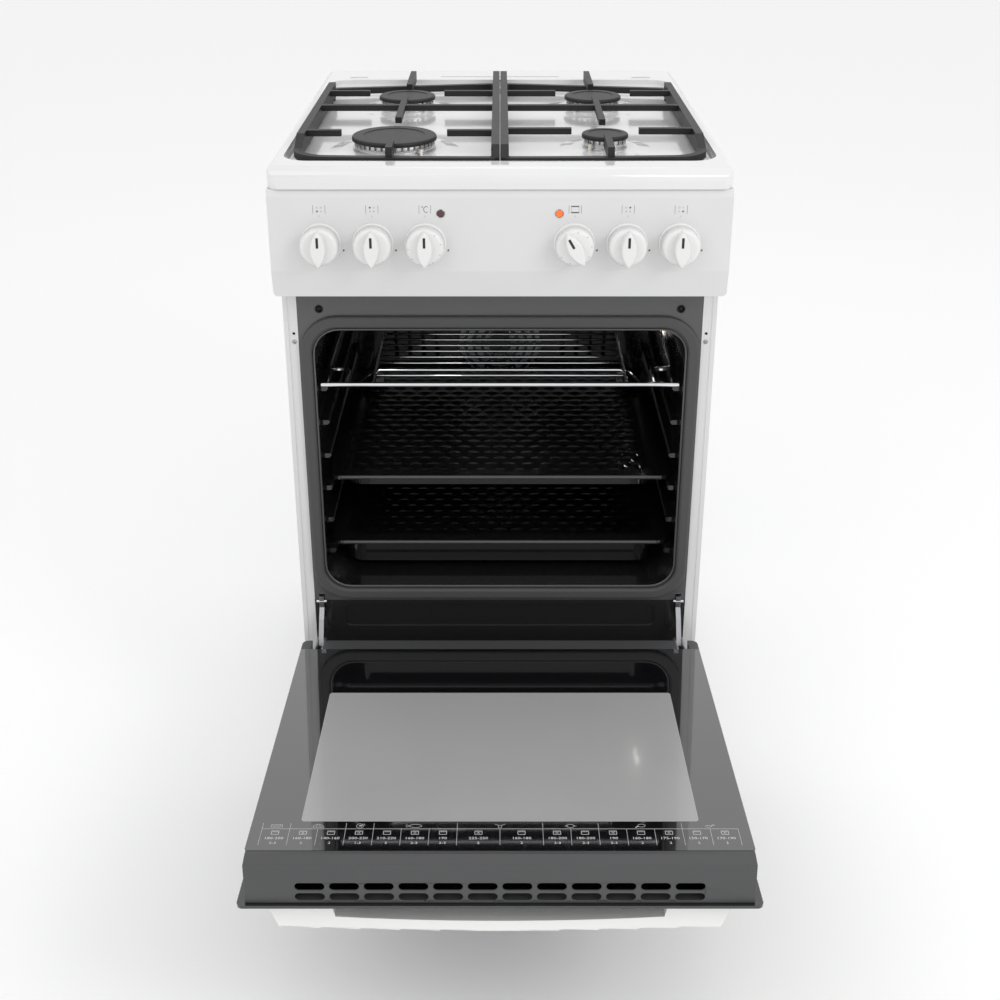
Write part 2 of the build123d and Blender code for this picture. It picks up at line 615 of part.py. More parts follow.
def knob_bezels():
    rings = []
    for x in KNOB_PLACES:
        ring = rod_y(x, FRONT - BEZEL_T, FRONT, KNOB_Z, BEZEL_R)
        ring = fillet(ring.edges().group_by(Axis.Y)[0], 1.2)
        rings.append(ring - rod_y(x, FRONT - 9, FRONT + 1, KNOB_Z, SPINDLE_R + 2))
    return rings


def knob(x, turn=0.0):
    """Round skirt, pointed-oval grip, pointer groove and a bore with a flat."""
    skirt = rod_y(0, KNOB_BACK - KNOB_SKIRT, KNOB_BACK, 0, KNOB_R)
    skirt = fillet(skirt.edges().group_by(Axis.Y)[0], 4)
    half_l = KNOB_R - 0.6
    arc_r = (half_l ** 2 + RIDGE_HALF_W ** 2) / (2 * RIDGE_HALF_W)
    offset_x = arc_r - RIDGE_HALF_W
    y0, y1 = KNOB_TIP, KNOB_BACK - 1
    ridge = rod_y(offset_x, y0, y1, 0, arc_r) & rod_y(-offset_x, y0, y1, 0, arc_r)
    ridge = fillet(ridge.edges().group_by(Axis.Y)[0], 2)
    body = skirt + ridge - block(-1.4, 1.4, y0 - 1, y0 + 0.8, 3, 14.5)
    depth = KNOB_BACK - KNOB_L + 5
    bore = rod_y(0, depth, KNOB_BACK + 1, 0, SPINDLE_R + PIN_PLAY)
    bore = bore - block(FLAT + PIN_PLAY, 9, depth - 1, KNOB_BACK + 2, -9, 9)
    return Pos(x, 0, KNOB_Z) * Rot(0, -turn, 0) * (body - bore)


def spindle(x, turn=0.0):
    y0 = KNOB_BACK - KNOB_L + 5 + PRESS + 1
    bar = shaft(0, 0, y0, TAP_FRONT + 12, KNOB_BACK + PRESS + 1)
    return Pos(x, 0, KNOB_Z) * Rot(0, -turn, 0) * bar


def control_bore(x):
    return rod_y(x, TAP_FRONT - 1, TAP_FRONT + 13, KNOB_Z, SPINDLE_R + PIN_PLAY)


def gas_taps():
    taps = []
    for i in GAS_KNOBS:
        x = KNOB_PLACES[i - 1]
        barrel = rod_y(x, TAP_FRONT, RAIL_Y, KNOB_Z, TAP_R)
        outlet = rod_z(x, TAP_FRONT + 25, KNOB_Z, KNOB_Z + TAP_R + 7, 6)
        rail = rod_x(-WIDTH, WIDTH, RAIL_Y, KNOB_Z, RAIL_R)
        taps.append(barrel + outlet - rail - control_bore(x))
    return taps


def oven_controls():
    """Thermostat and function switch."""
    cases = []
    for x in (KNOB_PLACES[2], KNOB_PLACES[3]):
        case = block(x - 21, x + 21, TAP_FRONT, TAP_FRONT + 36, KNOB_Z - 20, KNOB_Z + 20)
        cases.append(case - control_bore(x))
    return cases


def indicator_lens(x):
    dome = rod_y(x, FRONT - 1.6, FRONT + 5, LENS_Z, LENS_R)
    return fillet(dome.edges().group_by(Axis.Y)[0], 1.4)


def gas_rail():
    """Manifold behind the taps, supply pipe to the rear and the threaded inlet."""
    end = REAR - 18
    path = [(-KNOB_X[0] - 14, RAIL_Y, KNOB_Z), (SUPPLY_X, RAIL_Y, KNOB_Z), (SUPPLY_X, end, KNOB_Z)]
    inlet = rod_y(SUPPLY_X, end - 2, REAR - INLET_L + 1, KNOB_Z, INLET_R - 1.5)
    inlet = inlet + rod_y(SUPPLY_X, REAR - INLET_L, REAR, KNOB_Z, INLET_R)
    inlet = inlet - rod_y(SUPPLY_X, end + 3, REAR + 1, KNOB_Z, 6.5)
    return pipe(path, RAIL_R, 15) + inlet


# ---- Burners and hob -----------------------------------------------------------------------
def cup_radius(cap_r):
    return cap_r - 8


def crown_radius(cap_r):
    return cap_r - 2.5


def igniter_places():
    """Spark plug beside each crown on its inner side, thermocouple on its front side."""
    places = []
    for _, side, y, cap_r in BURNERS:
        reach = crown_radius(cap_r) + 4.4
        for angle in (40, 140):
            places.append((side * (BURNER_X - reach * sin(radians(angle))), y - reach * cos(radians(angle))))
    return places


def burner_cups():
    cups = []
    for _, side, y, cap_r in BURNERS:
        x, r = side * BURNER_X, cup_radius(cap_r)
        cup = rod_z(x, y, WELL_Z - 50, CROWN_Z, r) + rod_z(x, y, WELL_Z + PLINTH_H, CROWN_Z, cap_r - 1)
        cups.append(cup - rod_z(x, y, WELL_Z - 46, CROWN_Z + 1, r - 3))
    return cups


def flame_spreaders():
    crowns = []
    for _, side, y, cap_r in BURNERS:
        r = crown_radius(cap_r)
        crown = rod_z(0, 0, 0, CROWN_H, r) - rod_z(0, 0, -1, CROWN_H + 1, r - 7)
        count = 2 * round(pi * r / 7.5)
        teeth = [Rot(0, 0, k * 360 / count) * Pos(r - 1.5, 0, CROWN_H - 1) * Box(6, 2.2, 7)
                 for k in range(count)]
        crowns.append(Pos(side * BURNER_X, y, CROWN_Z) * (crown - teeth))
    return crowns


def burner_cap(side, y, cap_r):
    x = side * BURNER_X
    disc = fillet(rod_z(x, y, CAP_Z, CAP_Z + CAP_T, cap_r).edges().group_by(Axis.Z)[-1], 2.5)
    top = CAP_Z + CAP_T
    dish = chamfer(rod_z(x, y, top - CAP_DISH, top + 1, cap_r * 0.72).edges().group_by(Axis.Z)[0], 0.5)
    spigot = crown_radius(cap_r) - 8
    skirt = rod_z(x, y, CAP_Z - 4, CAP_Z, spigot) - rod_z(x, y, CAP_Z - 5, CAP_Z + 1, spigot - 2)
    return disc - dish + skirt


def igniters():
    return [rod_z(x, y, WELL_Z - 12, WELL_Z + 9, 2.0) for x, y in igniter_places()]


def burner_pipes():
    """One pipe from each tap to the side of its burner cup."""
    y0 = TAP_FRONT + 25
    z0, z1 = KNOB_Z + TAP_R + 7, WELL_Z - 36
    pipes = []
    for knob_no, (_, side, y, cap_r) in zip((1, 2, 5, 6), BURNERS):
        x = KNOB_PLACES[knob_no - 1]
        cup = cup_radius(cap_r)
        route = [(x, y0, z0), (x, y0, z1)]
        if y < 0:
            route += [(x, y, z1), (side * (BURNER_X + cup), y, z1)]
        else:
            lane = side * (BURNER_X - cup - 32)
            route += [(lane, y0, z1), (lane, y, z1), (side * (BURNER_X - cup), y, z1)]
        pipes.append(pipe(route, PIPE_R, 7))
    return pipes


LID_X = HALF - 50.0
LID_Y = REAR - 62.0


def hob_blank(inset):
    """Hob outline, set in all round: rolled front, rounded sides and rear, bowed rear edge."""
    half, z0, z1 = HALF - inset, HOB_Z - inset, HEIGHT - inset
    y0, y1 = FRONT + inset, REAR - inset
    corner_y = y1 - REAR_BOW
    plan = Polyline((-half, corner_y), (-half, y0), (half, y0), (half, corner_y))
    plan = make_face(plan + ThreePointArc((half, corner_y), (0, y1), (-half, corner_y)))
    plan = fillet(plan.vertices().sort_by(Axis.Y)[:2], 14 - inset)
    plan = fillet(plan.vertices().sort_by(Axis.Y)[-2:], 22 - inset)
    along = Pos((y0 + y1) / 2, (z0 + z1) / 2) * Rectangle(y1 - y0, z1 - z0)
    along = fillet(along.vertices().group_by(Axis.Y)[-1].sort_by(Axis.X)[0], HOB_ROLL - inset)
    along = fillet(along.vertices().group_by(Axis.Y)[-1].sort_by(Axis.X)[-1], HOB_EDGE - inset)
    across = Pos(0, (z0 + z1) / 2) * Rectangle(2 * half, z1 - z0)
    across = fillet(across.vertices().group_by(Axis.Y)[-1], HOB_EDGE - inset)
    blank = Pos(-half, 0, 0) * extrude(Plane.YZ * along, 2 * half)
    blank = blank & Pos(0, y1, 0) * extrude(Plane.XZ * across, y1 - y0)
    return blank & Pos(0, 0, z0) * extrude(plan, z1 - z0)


def hob_top():
    """Enamelled hob: sunk well with a ring under each burner, rear ledge with slots and louvres."""
    t = ENAMEL
    well_half, y0, y1 = HALF - WELL_SIDE, FRONT + WELL_FRONT, REAR - WELL_REAR
    well = slab_z(well_half, y0, y1, WELL_Z, HEIGHT + 1, 30)
    well = fillet(well.edges().group_by(Axis.Z)[0], 5)
    pan = slab_z(well_half + t, y0 - t, y1 + t, WELL_Z - t, HEIGHT + 1, 30 + t)
    pan = fillet(pan.edges().group_by(Axis.Z)[0], 5 + t)
    top = hob_blank(0) - (hob_blank(t) - pan) - well
    for _, side, y, cap_r in BURNERS:
        ring = Cone(cap_r + 26, cap_r + 12, PLINTH_H)
        top = top + Pos(side * BURNER_X, y, WELL_Z + PLINTH_H / 2) * ring
    holes = [rod_z(side * BURNER_X, y, WELL_Z - 3, WELL_Z + 3, cup_radius(cap_r) + FIT)
             for _, side, y, cap_r in BURNERS]
    holes += [rod_z(x, y, WELL_Z - 3, WELL_Z + 3, 2.0 + FIT) for x, y in igniter_places()]
    holes += [block(s * LID_X - 12, s * LID_X + 12, LID_Y - 3, LID_Y + 3, HEIGHT - 4, HEIGHT + 1)
              for s in (-1, 1)]
    holes += [block(-84, 84, LID_Y + 4 + row, LID_Y + 6.5 + row, HEIGHT - 4, HEIGHT + 1)
              for row in (0, 5)]
    return top - holes


def support_rim(x_in, x_out, front, rear_out, rear_in):
    """Flat outline of a pan support's low frame: bowed front, large outer corner."""
    middle = (x_in + x_out) / 2
    bow = ThreePointArc((x_in, front), (middle, front + BAR_BOW * (middle / x_out) ** 2),
                        (x_out, front + BAR_BOW))
    rest = Polyline((x_out, front + BAR_BOW), (x_out, rear_out), (x_in, rear_in), (x_in, front))
    rim = make_face(bow + rest)
    rim = fillet(rim.vertices().sort_by(Axis.Y)[:2].sort_by(Axis.X)[-1], BAR_CORNER)
    rim = fillet(rim.vertices().group_by(Axis.X)[0] + rim.vertices().sort_by(Axis.Y)[-2:-1], 12)
    return rim - offset(rim, amount=-BAR_W)


def pan_support(side):
    """Cast support over one pair of burners: low frame, raised bars, fingers and pads."""
    x_out, x_in = HALF - SUPPORT_SIDE, SUPPORT_GAP / 2
    front = FRONT + SUPPORT_FRONT
    rear_in, rear_out = REAR - 114, REAR - 150
    low0, top = WELL_Z + 4, SUPPORT_Z
    low1, raised = low0 + FRAME_H, top - BAR_H
    web = low1 - 3
    rim = support_rim(x_in, x_out, front, rear_out, rear_in)
    side_y0, side_y1 = front + BAR_BOW + BAR_CORNER, rear_out - 20
    side_bar = [(side_y0, web), (side_y0, low1), (side_y0 + 24, top), (side_y1, top), (side_y1, web)]
    centre_y0, centre_y1 = front + 3, REAR - 84
    centre_bar = [(centre_y0, web), (centre_y0, low1), (centre_y0 + 16, top), (centre_y1, top),
                  (centre_y1, web)]
    bars = [Pos(0, 0, low0) * extrude(rim, low1 - low0),
            prism_x(side_bar, x_out - BAR_W, x_out),
            prism_x(centre_bar, x_in, x_in + BAR_W),
            block(x_in, x_out, CROSSBAR_Y - BAR_W / 2, CROSSBAR_Y + BAR_W / 2, raised, top)]
    cx, w = BURNER_X, FINGER_W / 2
    pair = [(y, r) for _, s, y, r in BURNERS if s == side]
    for y, r in pair:
        bars.append(block(x_in, cx - r - FINGER_GAP, y - w, y + w, raised, top))
        bars.append(block(cx + r + FINGER_GAP, x_out, y - w, y + w, raised, top))
    y_front, r_front = min(pair)
    y_rear, r_rear = max(pair)
    bars.append(block(cx - w, cx + w, y_front + r_front + 20, y_rear - r_rear - FINGER_CLEAR, raised, top))
    bars.append(block(cx - w, cx + w, front + 4, y_front - r_front - FINGER_CLEAR, web, top))
    bars.append(block(cx - w, cx + w, y_rear + r_rear + 8, REAR - 84, web, top))
    pad_r = BAR_W / 2
    for x in (x_in + pad_r, x_out - pad_r):
        for y in (side_y0 + 10, side_y1 - 10):
            bars.append(rod_z(x, y, WELL_Z + GAP, low0 + 2, pad_r))
    support = fuse(*bars)
    return support if side > 0 else mirror(support, about=Plane.YZ)


# ---- Drawer --------------------------------------------------------------------------------
DRAWER_HALF = BODY_HALF - DRAWER_SIDE_GAP
RUNNER_Z = DRAWER_Z0 + 65.0


def drawer_front():
    y1 = FRONT + DRAWER_FRONT_T
    z1 = DRAWER_Z0 + DRAWER_H
    shell = block(-BODY_HALF, BODY_HALF, FRONT, y1, DRAWER_Z0, z1)
    shell = fillet(shell.faces().sort_by(Axis.Y)[0].edges(), 4)
    t = ENAMEL
    return shell - block(-BODY_HALF + t, BODY_HALF - t, FRONT + t, y1 + 1, DRAWER_Z0 + t, z1 - t)


def drawer_box():
    y0 = FRONT + DRAWER_FRONT_T
    y1 = y0 + DRAWER_BOX_D
    z0 = DRAWER_Z0 + 7
    z1 = z0 + DRAWER_BOX_H
    half = DRAWER_HALF
    box = block(-half, half, y0, y1, z0, z1)
    box = box - block(-half + SHEET, half - SHEET, y0 + SHEET, y1 - SHEET, z0 + SHEET, z1 + 1)
    flange = block(half, half + 15, PLATE_Y + 4, y1, RUNNER_Z + GAP, RUNNER_Z + GAP + SHEET)
    return fuse(box, *mirrored(flange))


def drawer_runners():
    x1 = BODY_HALF - SHEET - FIT
    x0 = DRAWER_HALF + 7
    y0, y1 = PLATE_Y + SHEET + FIT, BACK_Y - 80
    ledge = block(x0, x1, y0, y1, RUNNER_Z - 1.5, RUNNER_Z)
    web = block(x1 - 1.5, x1, y0, y1, RUNNER_Z - 20, RUNNER_Z)
    return mirrored(ledge + web)


# ---- Write one STEP per sub-part -----------------------------------------------------------
def build():
    right = side_panel()
    parts = {
        "side_panel_right": right,
        "side_panel_left": mirror(right, about=Plane.YZ),
        "back_panel": back_panel(),
        "base_tray": base_tray(),
        "front_plate": front_plate(),
        "lower_apron": lower_apron(),
        "levelling_feet": levelling_feet(),
        "oven_liner": oven_liner(),
        "insulation": insulation(),
        "oven_gasket": oven_gasket(),
        "grill_element": grill_element(),
        "lower_element": lower_element(),
        "fan_cover": fan_cover(),
        "fan_motor": fan_motor(),
        "fan_impeller": fan_impeller(),
        "lamp_lens": lamp_lens(),
        "wire_shelf": wire_shelf(),
        "baking_tray": tray(2, BAKE_DEPTH, SHELF_FRONT + 18),
        "roasting_tray": tray(0, ROAST_DEPTH, SHELF_FRONT + 12),
        "hinge_arms": hinge_arms(),
        "control_panel": control_panel(),
        "knob_bezels": knob_bezels(),
        "oven_controls": oven_controls(),
        "gas_taps": gas_taps(),
        "gas_rail": gas_rail(),
        "burner_pipes": burner_pipes(),
        "burner_cups": burner_cups(),
        "igniters": igniters(),
        "flame_spreaders": flame_spreaders(),
        "lens_oven": indicator_lens(-LENS_X),
        "lens_power": indicator_lens(LENS_X),
        "hob_top": hob_top(),
        "pan_support_left": pan_support(-1),
        "pan_support_right": pan_support(1),
        "drawer_front": drawer_front(),
        "drawer_box": drawer_box(),
        "drawer_runners": drawer_runners(),
    }
    door = {
        "door_outer_glass": door_outer_glass(),
        "door_inner_glass": door_inner_glass(),
        "door_top_profile": door_top_profile(),
        "door_side_rails": door_side_rails(),
        "door_bottom_rail": door_bottom_rail(),
        "door_handle": door_handle(),
        "hinge_channels": hinge_channels(),
    }
    for name, shape in door.items():
        solids = shape if isinstance(shape, list) else [shape]
        parts[name] = [open_door(solid) for solid in solids]
    for name, side, y, cap_r in BURNERS:
        parts["cap_" + name] = burner_cap(side, y, cap_r)
    for number, x in enumerate(KNOB_PLACES, start=1):
        turn = FUNCTION_TURN if number == 4 else 0.0
        parts[f"knob_{number}"] = knob(x, turn)
        if number in GAS_KNOBS:
            parts[f"gas_spindle_{number}"] = spindle(x)
    parts["thermostat_spindle"] = spindle(KNOB_PLACES[2])
    parts["function_spindle"] = spindle(KNOB_PLACES[3], FUNCTION_TURN)
    return parts


def solids_of(shape):
    pieces = shape if isinstance(shape, list) else [shape]
    return [solid for piece in pieces for solid in piece.solids()]


os.makedirs("parts", exist_ok=True)
for node, shape in build().items():
    solids = solids_of(shape)
    export_step(solids[0] if len(solids) == 1 else Compound(children=solids), f"parts/{node}.step")
    print(node, len(solids))
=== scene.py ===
# %% [markdown]
# # A freestanding gas range with its door open
# The CAD model gives every part, its place and its motion. Here each part gets the finish that
# the real one has, and the small things that only matter to the eye: printed marks, screws,
# pressed patterns and rolled edges. Nothing from the CAD is moved.

# %% Load the frame
import json
import math

import bmesh
import bpy
from mathutils import Matrix, Vector


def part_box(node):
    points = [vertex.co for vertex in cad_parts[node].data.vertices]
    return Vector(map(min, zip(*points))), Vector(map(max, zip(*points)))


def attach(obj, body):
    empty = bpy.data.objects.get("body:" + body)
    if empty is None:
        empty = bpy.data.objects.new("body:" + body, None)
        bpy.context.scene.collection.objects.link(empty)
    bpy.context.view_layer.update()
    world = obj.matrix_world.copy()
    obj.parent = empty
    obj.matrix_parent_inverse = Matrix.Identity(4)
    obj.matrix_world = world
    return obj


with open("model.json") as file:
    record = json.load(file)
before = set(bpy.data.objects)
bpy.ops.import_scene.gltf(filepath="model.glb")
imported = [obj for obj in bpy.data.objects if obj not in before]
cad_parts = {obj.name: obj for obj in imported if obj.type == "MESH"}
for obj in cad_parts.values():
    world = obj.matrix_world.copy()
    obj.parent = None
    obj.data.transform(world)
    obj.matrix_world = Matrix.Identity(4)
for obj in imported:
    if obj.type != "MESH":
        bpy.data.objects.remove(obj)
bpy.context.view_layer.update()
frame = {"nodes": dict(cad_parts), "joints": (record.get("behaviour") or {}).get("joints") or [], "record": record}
nodes = frame["nodes"]


# %% [markdown]
# Positions come from the CAD boxes. A few faces are used again and again: the control panel's
# face, the dark plate behind the door, and the door's own plane, which leans by the angle that
# the door stands open.

# %% Places that other cells use
MM = 0.001


def low(node, axis):
    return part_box(node)[0][axis]


def high(node, axis):
    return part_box(node)[1][axis]


def middle(node):
    lo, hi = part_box(node)
    return Vector([(a + b) / 2 for a, b in zip(lo, hi)])


HALF = high("hob_top", 0)
FASCIA_Y = low("control_panel", 1)
PLATE_Y = low("front_plate", 1)
RIM_Z = high("hob_top", 2)
hinge = next(j for j in frame["joints"] if j["name"] == "door_hinge")
PIN = Vector(hinge["pos_m"])
OPEN = -math.radians(hinge["range_deg"][0])
print("door stands open by", round(math.degrees(OPEN), 2), "degrees about", tuple(PIN))

# %% [markdown]
# Camera first. It stands in front of the range and looks down on it. A small vertical shift
# frames the picture, so that the hob and the open door both stay in view.

# %% Camera
CAMERA_PLACE = (0.0, -1.7115, 1.1936)
CAMERA_PITCH = math.radians(23.4)
LENS = 48.7
SHIFT_Y = -0.10

camera_data = bpy.data.cameras.new("camera")
camera_data.lens = LENS
camera_data.sensor_width = 36
camera_data.shift_y = SHIFT_Y
camera_data.clip_end = 60
camera = bpy.data.objects.new("camera", camera_data)
camera.location = CAMERA_PLACE
camera.rotation_euler = (math.pi / 2 - CAMERA_PITCH, 0, 0)
bpy.context.collection.objects.link(camera)
bpy.context.scene.camera = camera
print("camera at", CAMERA_PLACE, "lens", LENS)

# %% [markdown]
# A white appliance on white needs a bright room: a pale floor that reads as almost white, an even
# pale sky, and three large soft lamps. Two stand at the front corners and one hangs high over the
# back, where the door's glass doesn't mirror it. The oven stays dark inside.

# %% Floor, sky and lamps
scene = bpy.context.scene
scene.view_settings.view_transform = "Standard"
scene.view_settings.look = "None"
scene.view_settings.exposure = 0.0

world = bpy.data.worlds.new("studio")
scene.world = world
world.use_nodes = True
sky = world.node_tree.nodes["Background"]
sky.inputs["Color"].default_value = (1.0, 1.0, 1.0, 1.0)
sky.inputs["Strength"].default_value = 0.95

floor_mesh = bpy.data.meshes.new("floor")
FLOOR = 30.0
floor_mesh.from_pydata([(-FLOOR, -FLOOR, 0), (FLOOR, -FLOOR, 0), (FLOOR, FLOOR, 0), (-FLOOR, FLOOR, 0)],
                       [], [(0, 1, 2, 3)])
floor = bpy.data.objects.new("floor", floor_mesh)
bpy.context.collection.objects.link(floor)
floor_finish = bpy.data.materials.new("pale_floor")
floor_finish.use_nodes = True
floor_shader = floor_finish.node_tree.nodes["Principled BSDF"]
floor_shader.inputs["Base Color"].default_value = (0.95, 0.95, 0.95, 1)
floor_shader.inputs["Roughness"].default_value = 0.7
floor_mesh.materials.append(floor_finish)


def lamp(name, place, aim, size, watts):
    """A square soft box that points at a place."""
    data = bpy.data.lights.new(name, "AREA")
    data.size = size
    data.energy = watts
    light = bpy.data.objects.new(name, data)
    light.location = place
    light.rotation_euler = (Vector(aim) - Vector(place)).to_track_quat("-Z", "Y").to_euler()
    bpy.context.collection.objects.link(light)


lamp("key", (1.5, -1.7, 1.9), (0, 0, 0.5), 0.8, 11)
lamp("fill", (-1.5, -1.6, 2.4), (0, 0, 0.6), 1.6, 6)
lamp("rim", (0.2, 1.3, 3.4), (0, 0, 0.8), 1.4, 5.5)

# %% [markdown]
# ## Finishes
# Every finish is a Principled shader with its own small texture. Coordinates are the object's
# own, in metres, so a grain of 2 mm is a scale of 500. `finish` builds the part that all of them
# share: a slight change of colour, a change of gloss, and a fine bump.

# %% The shared recipe for a finish


def finish(name, colour, rough, metal=0.0, coat=0.0, grain=300.0, bump=0.02, vary=0.03,
           rough_vary=0.05):
    """A Principled material with fine colour, gloss and height variation."""
    mat = bpy.data.materials.new(name)
    mat.use_nodes = True
    tree = mat.node_tree
    shader = tree.nodes["Principled BSDF"]
    shader.inputs["Metallic"].default_value = metal
    shader.inputs["Coat Weight"].default_value = coat
    shader.inputs["Coat Roughness"].default_value = 0.05
    place = tree.nodes.new("ShaderNodeTexCoord")
    noise = tree.nodes.new("ShaderNodeTexNoise")
    noise.inputs["Scale"].default_value = grain
    noise.inputs["Detail"].default_value = 3.0
    tree.links.new(place.outputs["Object"], noise.inputs["Vector"])
    slow = tree.nodes.new("ShaderNodeTexNoise")
    slow.inputs["Scale"].default_value = 9.0
    tree.links.new(place.outputs["Object"], slow.inputs["Vector"])
    tint = tree.nodes.new("ShaderNodeValToRGB")
    tint.color_ramp.elements[0].position = 0.3
    tint.color_ramp.elements[1].position = 0.7
    tint.color_ramp.elements[0].color = (*[c * (1 - vary) for c in colour], 1)
    tint.color_ramp.elements[1].color = (*[min(1, c * (1 + vary)) for c in colour], 1)
    tree.links.new(slow.outputs["Fac"], tint.inputs["Fac"])
    tree.links.new(tint.outputs["Color"], shader.inputs["Base Color"])
    gloss = tree.nodes.new("ShaderNodeMapRange")
    gloss.inputs["To Min"].default_value = max(0.0, rough - rough_vary)
    gloss.inputs["To Max"].default_value = min(1.0, rough + rough_vary)
    tree.links.new(noise.outputs["Fac"], gloss.inputs["Value"])
    tree.links.new(gloss.outputs["Result"], shader.inputs["Roughness"])
    relief = tree.nodes.new("ShaderNodeBump")
    relief.inputs["Strength"].default_value = bump
    relief.inputs["Distance"].default_value = 0.0005
    tree.links.new(noise.outputs["Fac"], relief.inputs["Height"])
    tree.links.new(relief.outputs["Normal"], shader.inputs["Normal"])
    return mat


# %% [markdown]
# White enamel is glass fused to steel: hard gloss, with the faint orange-peel that glass leaves
# when it flows. Black enamel in the oven is the same, with pale flecks fired into it.

# %% Enamels
white_enamel = finish("white_enamel", (0.68, 0.68, 0.68), 0.22, coat=0.4, grain=90, bump=0.03, vary=0.012)
hob_enamel = finish("hob_enamel", (0.74, 0.74, 0.74), 0.16, coat=0.6, grain=70, bump=0.04, vary=0.012)
dark_plate = finish("dark_plate_enamel", (0.078, 0.078, 0.080), 0.30, coat=0.2, grain=160, bump=0.05)


def add_flecks(mat, dark, pale, size, amount):
    """Small pale specks scattered in a dark enamel."""
    tree = mat.node_tree
    shader = tree.nodes["Principled BSDF"]
    place = tree.nodes.new("ShaderNodeTexCoord")
    cells = tree.nodes.new("ShaderNodeTexNoise")
    cells.inputs["Scale"].default_value = size
    cells.inputs["Detail"].default_value = 1.0
    ramp = tree.nodes.new("ShaderNodeValToRGB")
    ramp.color_ramp.elements[0].position = amount
    ramp.color_ramp.elements[1].position = amount + 0.04
    ramp.color_ramp.elements[0].color = (*dark, 1)
    ramp.color_ramp.elements[1].color = (*pale, 1)
    tree.links.new(place.outputs["Object"], cells.inputs["Vector"])
    tree.links.new(cells.outputs["Fac"], ramp.inputs["Fac"])
    tree.links.new(ramp.outputs["Color"], shader.inputs["Base Color"])


oven_enamel = finish("oven_enamel", (0.010, 0.010, 0.011), 0.14, coat=0.5, grain=110, bump=0.05)
add_flecks(oven_enamel, (0.008, 0.008, 0.009), (0.09, 0.09, 0.09), 900, 0.68)
tray_enamel = finish("tray_enamel", (0.008, 0.008, 0.008), 0.12, coat=0.6, grain=120, bump=0.05)
apron_enamel = finish("apron_enamel", (0.018, 0.018, 0.019), 0.20, coat=0.4, grain=110, bump=0.04)
# Bead enamel is the liner's black enamel, painted several times lighter as a painted highlight on the rolled
# beads; their gloss and round form are real.
bead_enamel_painted_highlight = finish("bead_enamel_painted_highlight", (0.055, 0.055, 0.056), 0.18, coat=0.6, grain=120, bump=0.03)
cap_enamel = finish("burner_cap_enamel", (0.007, 0.007, 0.0075), 0.50, grain=260, bump=0.10)
iron_enamel = finish("cast_iron_enamel", (0.005, 0.005, 0.0055), 0.50, grain=420, bump=0.25,
                     rough_vary=0.08)

# %% [markdown]
# Metals. Chromed wire is almost a mirror, zinc-coated sheet is dull and cloudy, and the cast
# burner rings are blasted, which leaves an even fine grain.

# %% Metals
wire_chrome = finish("wire_chrome", (0.78, 0.78, 0.80), 0.10, metal=1.0, grain=500, bump=0.02)
hinge_chrome = finish("hinge_chrome", (0.42, 0.42, 0.44), 0.26, metal=1.0, grain=350, bump=0.06)
zinc_sheet = finish("zinc_sheet", (0.55, 0.56, 0.57), 0.38, metal=0.9, grain=40, bump=0.05, vary=0.12)
burner_aluminium = finish("burner_aluminium", (0.66, 0.66, 0.67), 0.34, metal=1.0, grain=700, bump=0.12)
element_steel = finish("element_steel", (0.17, 0.16, 0.16), 0.42, metal=1.0, grain=500, bump=0.10)
brass = finish("machined_brass", (0.63, 0.45, 0.20), 0.28, metal=1.0, grain=500, bump=0.05)
profile_paint = finish("profile_paint", (0.062, 0.063, 0.065), 0.42, grain=800, bump=0.10)
screw_zinc = finish("screw_zinc", (0.42, 0.42, 0.43), 0.30, metal=1.0, grain=600, bump=0.05)
dark_screw = finish("dark_screw", (0.020, 0.020, 0.021), 0.35, metal=0.6, grain=600, bump=0.08)
probe_copper = finish("probe_copper", (0.34, 0.19, 0.13), 0.36, metal=1.0, grain=600, bump=0.06)

# %% [markdown]
# Plastics, rubber, ceramic and wool are softer: rougher, and with more grain than metal.

# %% Plastics, seal, ceramic and wool
knob_plastic = finish("knob_plastic", (0.76, 0.76, 0.755), 0.34, coat=0.1, grain=900, bump=0.03, vary=0.01)
handle_plastic = finish("handle_plastic", (0.84, 0.84, 0.83), 0.30, coat=0.1, grain=600, bump=0.008,
                        vary=0.005)
bezel_plastic = finish("bezel_plastic", (0.80, 0.80, 0.80), 0.40, grain=900, bump=0.04)
dark_plastic = finish("dark_plastic", (0.022, 0.022, 0.024), 0.50, grain=900, bump=0.12)
seal_rubber = finish("seal_rubber", (0.060, 0.060, 0.060), 0.62, grain=700, bump=0.30)
spark_ceramic = finish("spark_ceramic", (0.80, 0.78, 0.72), 0.35, grain=500, bump=0.05)
mineral_wool = finish("mineral_wool", (0.55, 0.50, 0.38), 0.95, grain=260, bump=0.9, vary=0.2)
print_ink = finish("print_ink", (0.085, 0.085, 0.088), 0.50, grain=900, bump=0.02)
pointer_ink = finish("pointer_ink", (0.012, 0.012, 0.012), 0.40, grain=900, bump=0.02)
legend_ink = finish("legend_ink", (0.40, 0.40, 0.40), 0.45, grain=900, bump=0.02)
chart_ink = finish("chart_ink", (0.62, 0.62, 0.62), 0.50, grain=900, bump=0.02)

# %% [markdown]
# Glass. The inner pane carries a mirror-like heat coating, so it is dark and reflects the oven.
# The outer pane is backed with black print: dark too, with a hard surface. The oven lamp is lit,
# so its light sparkles on the pressed trays. The small lenses are tinted.

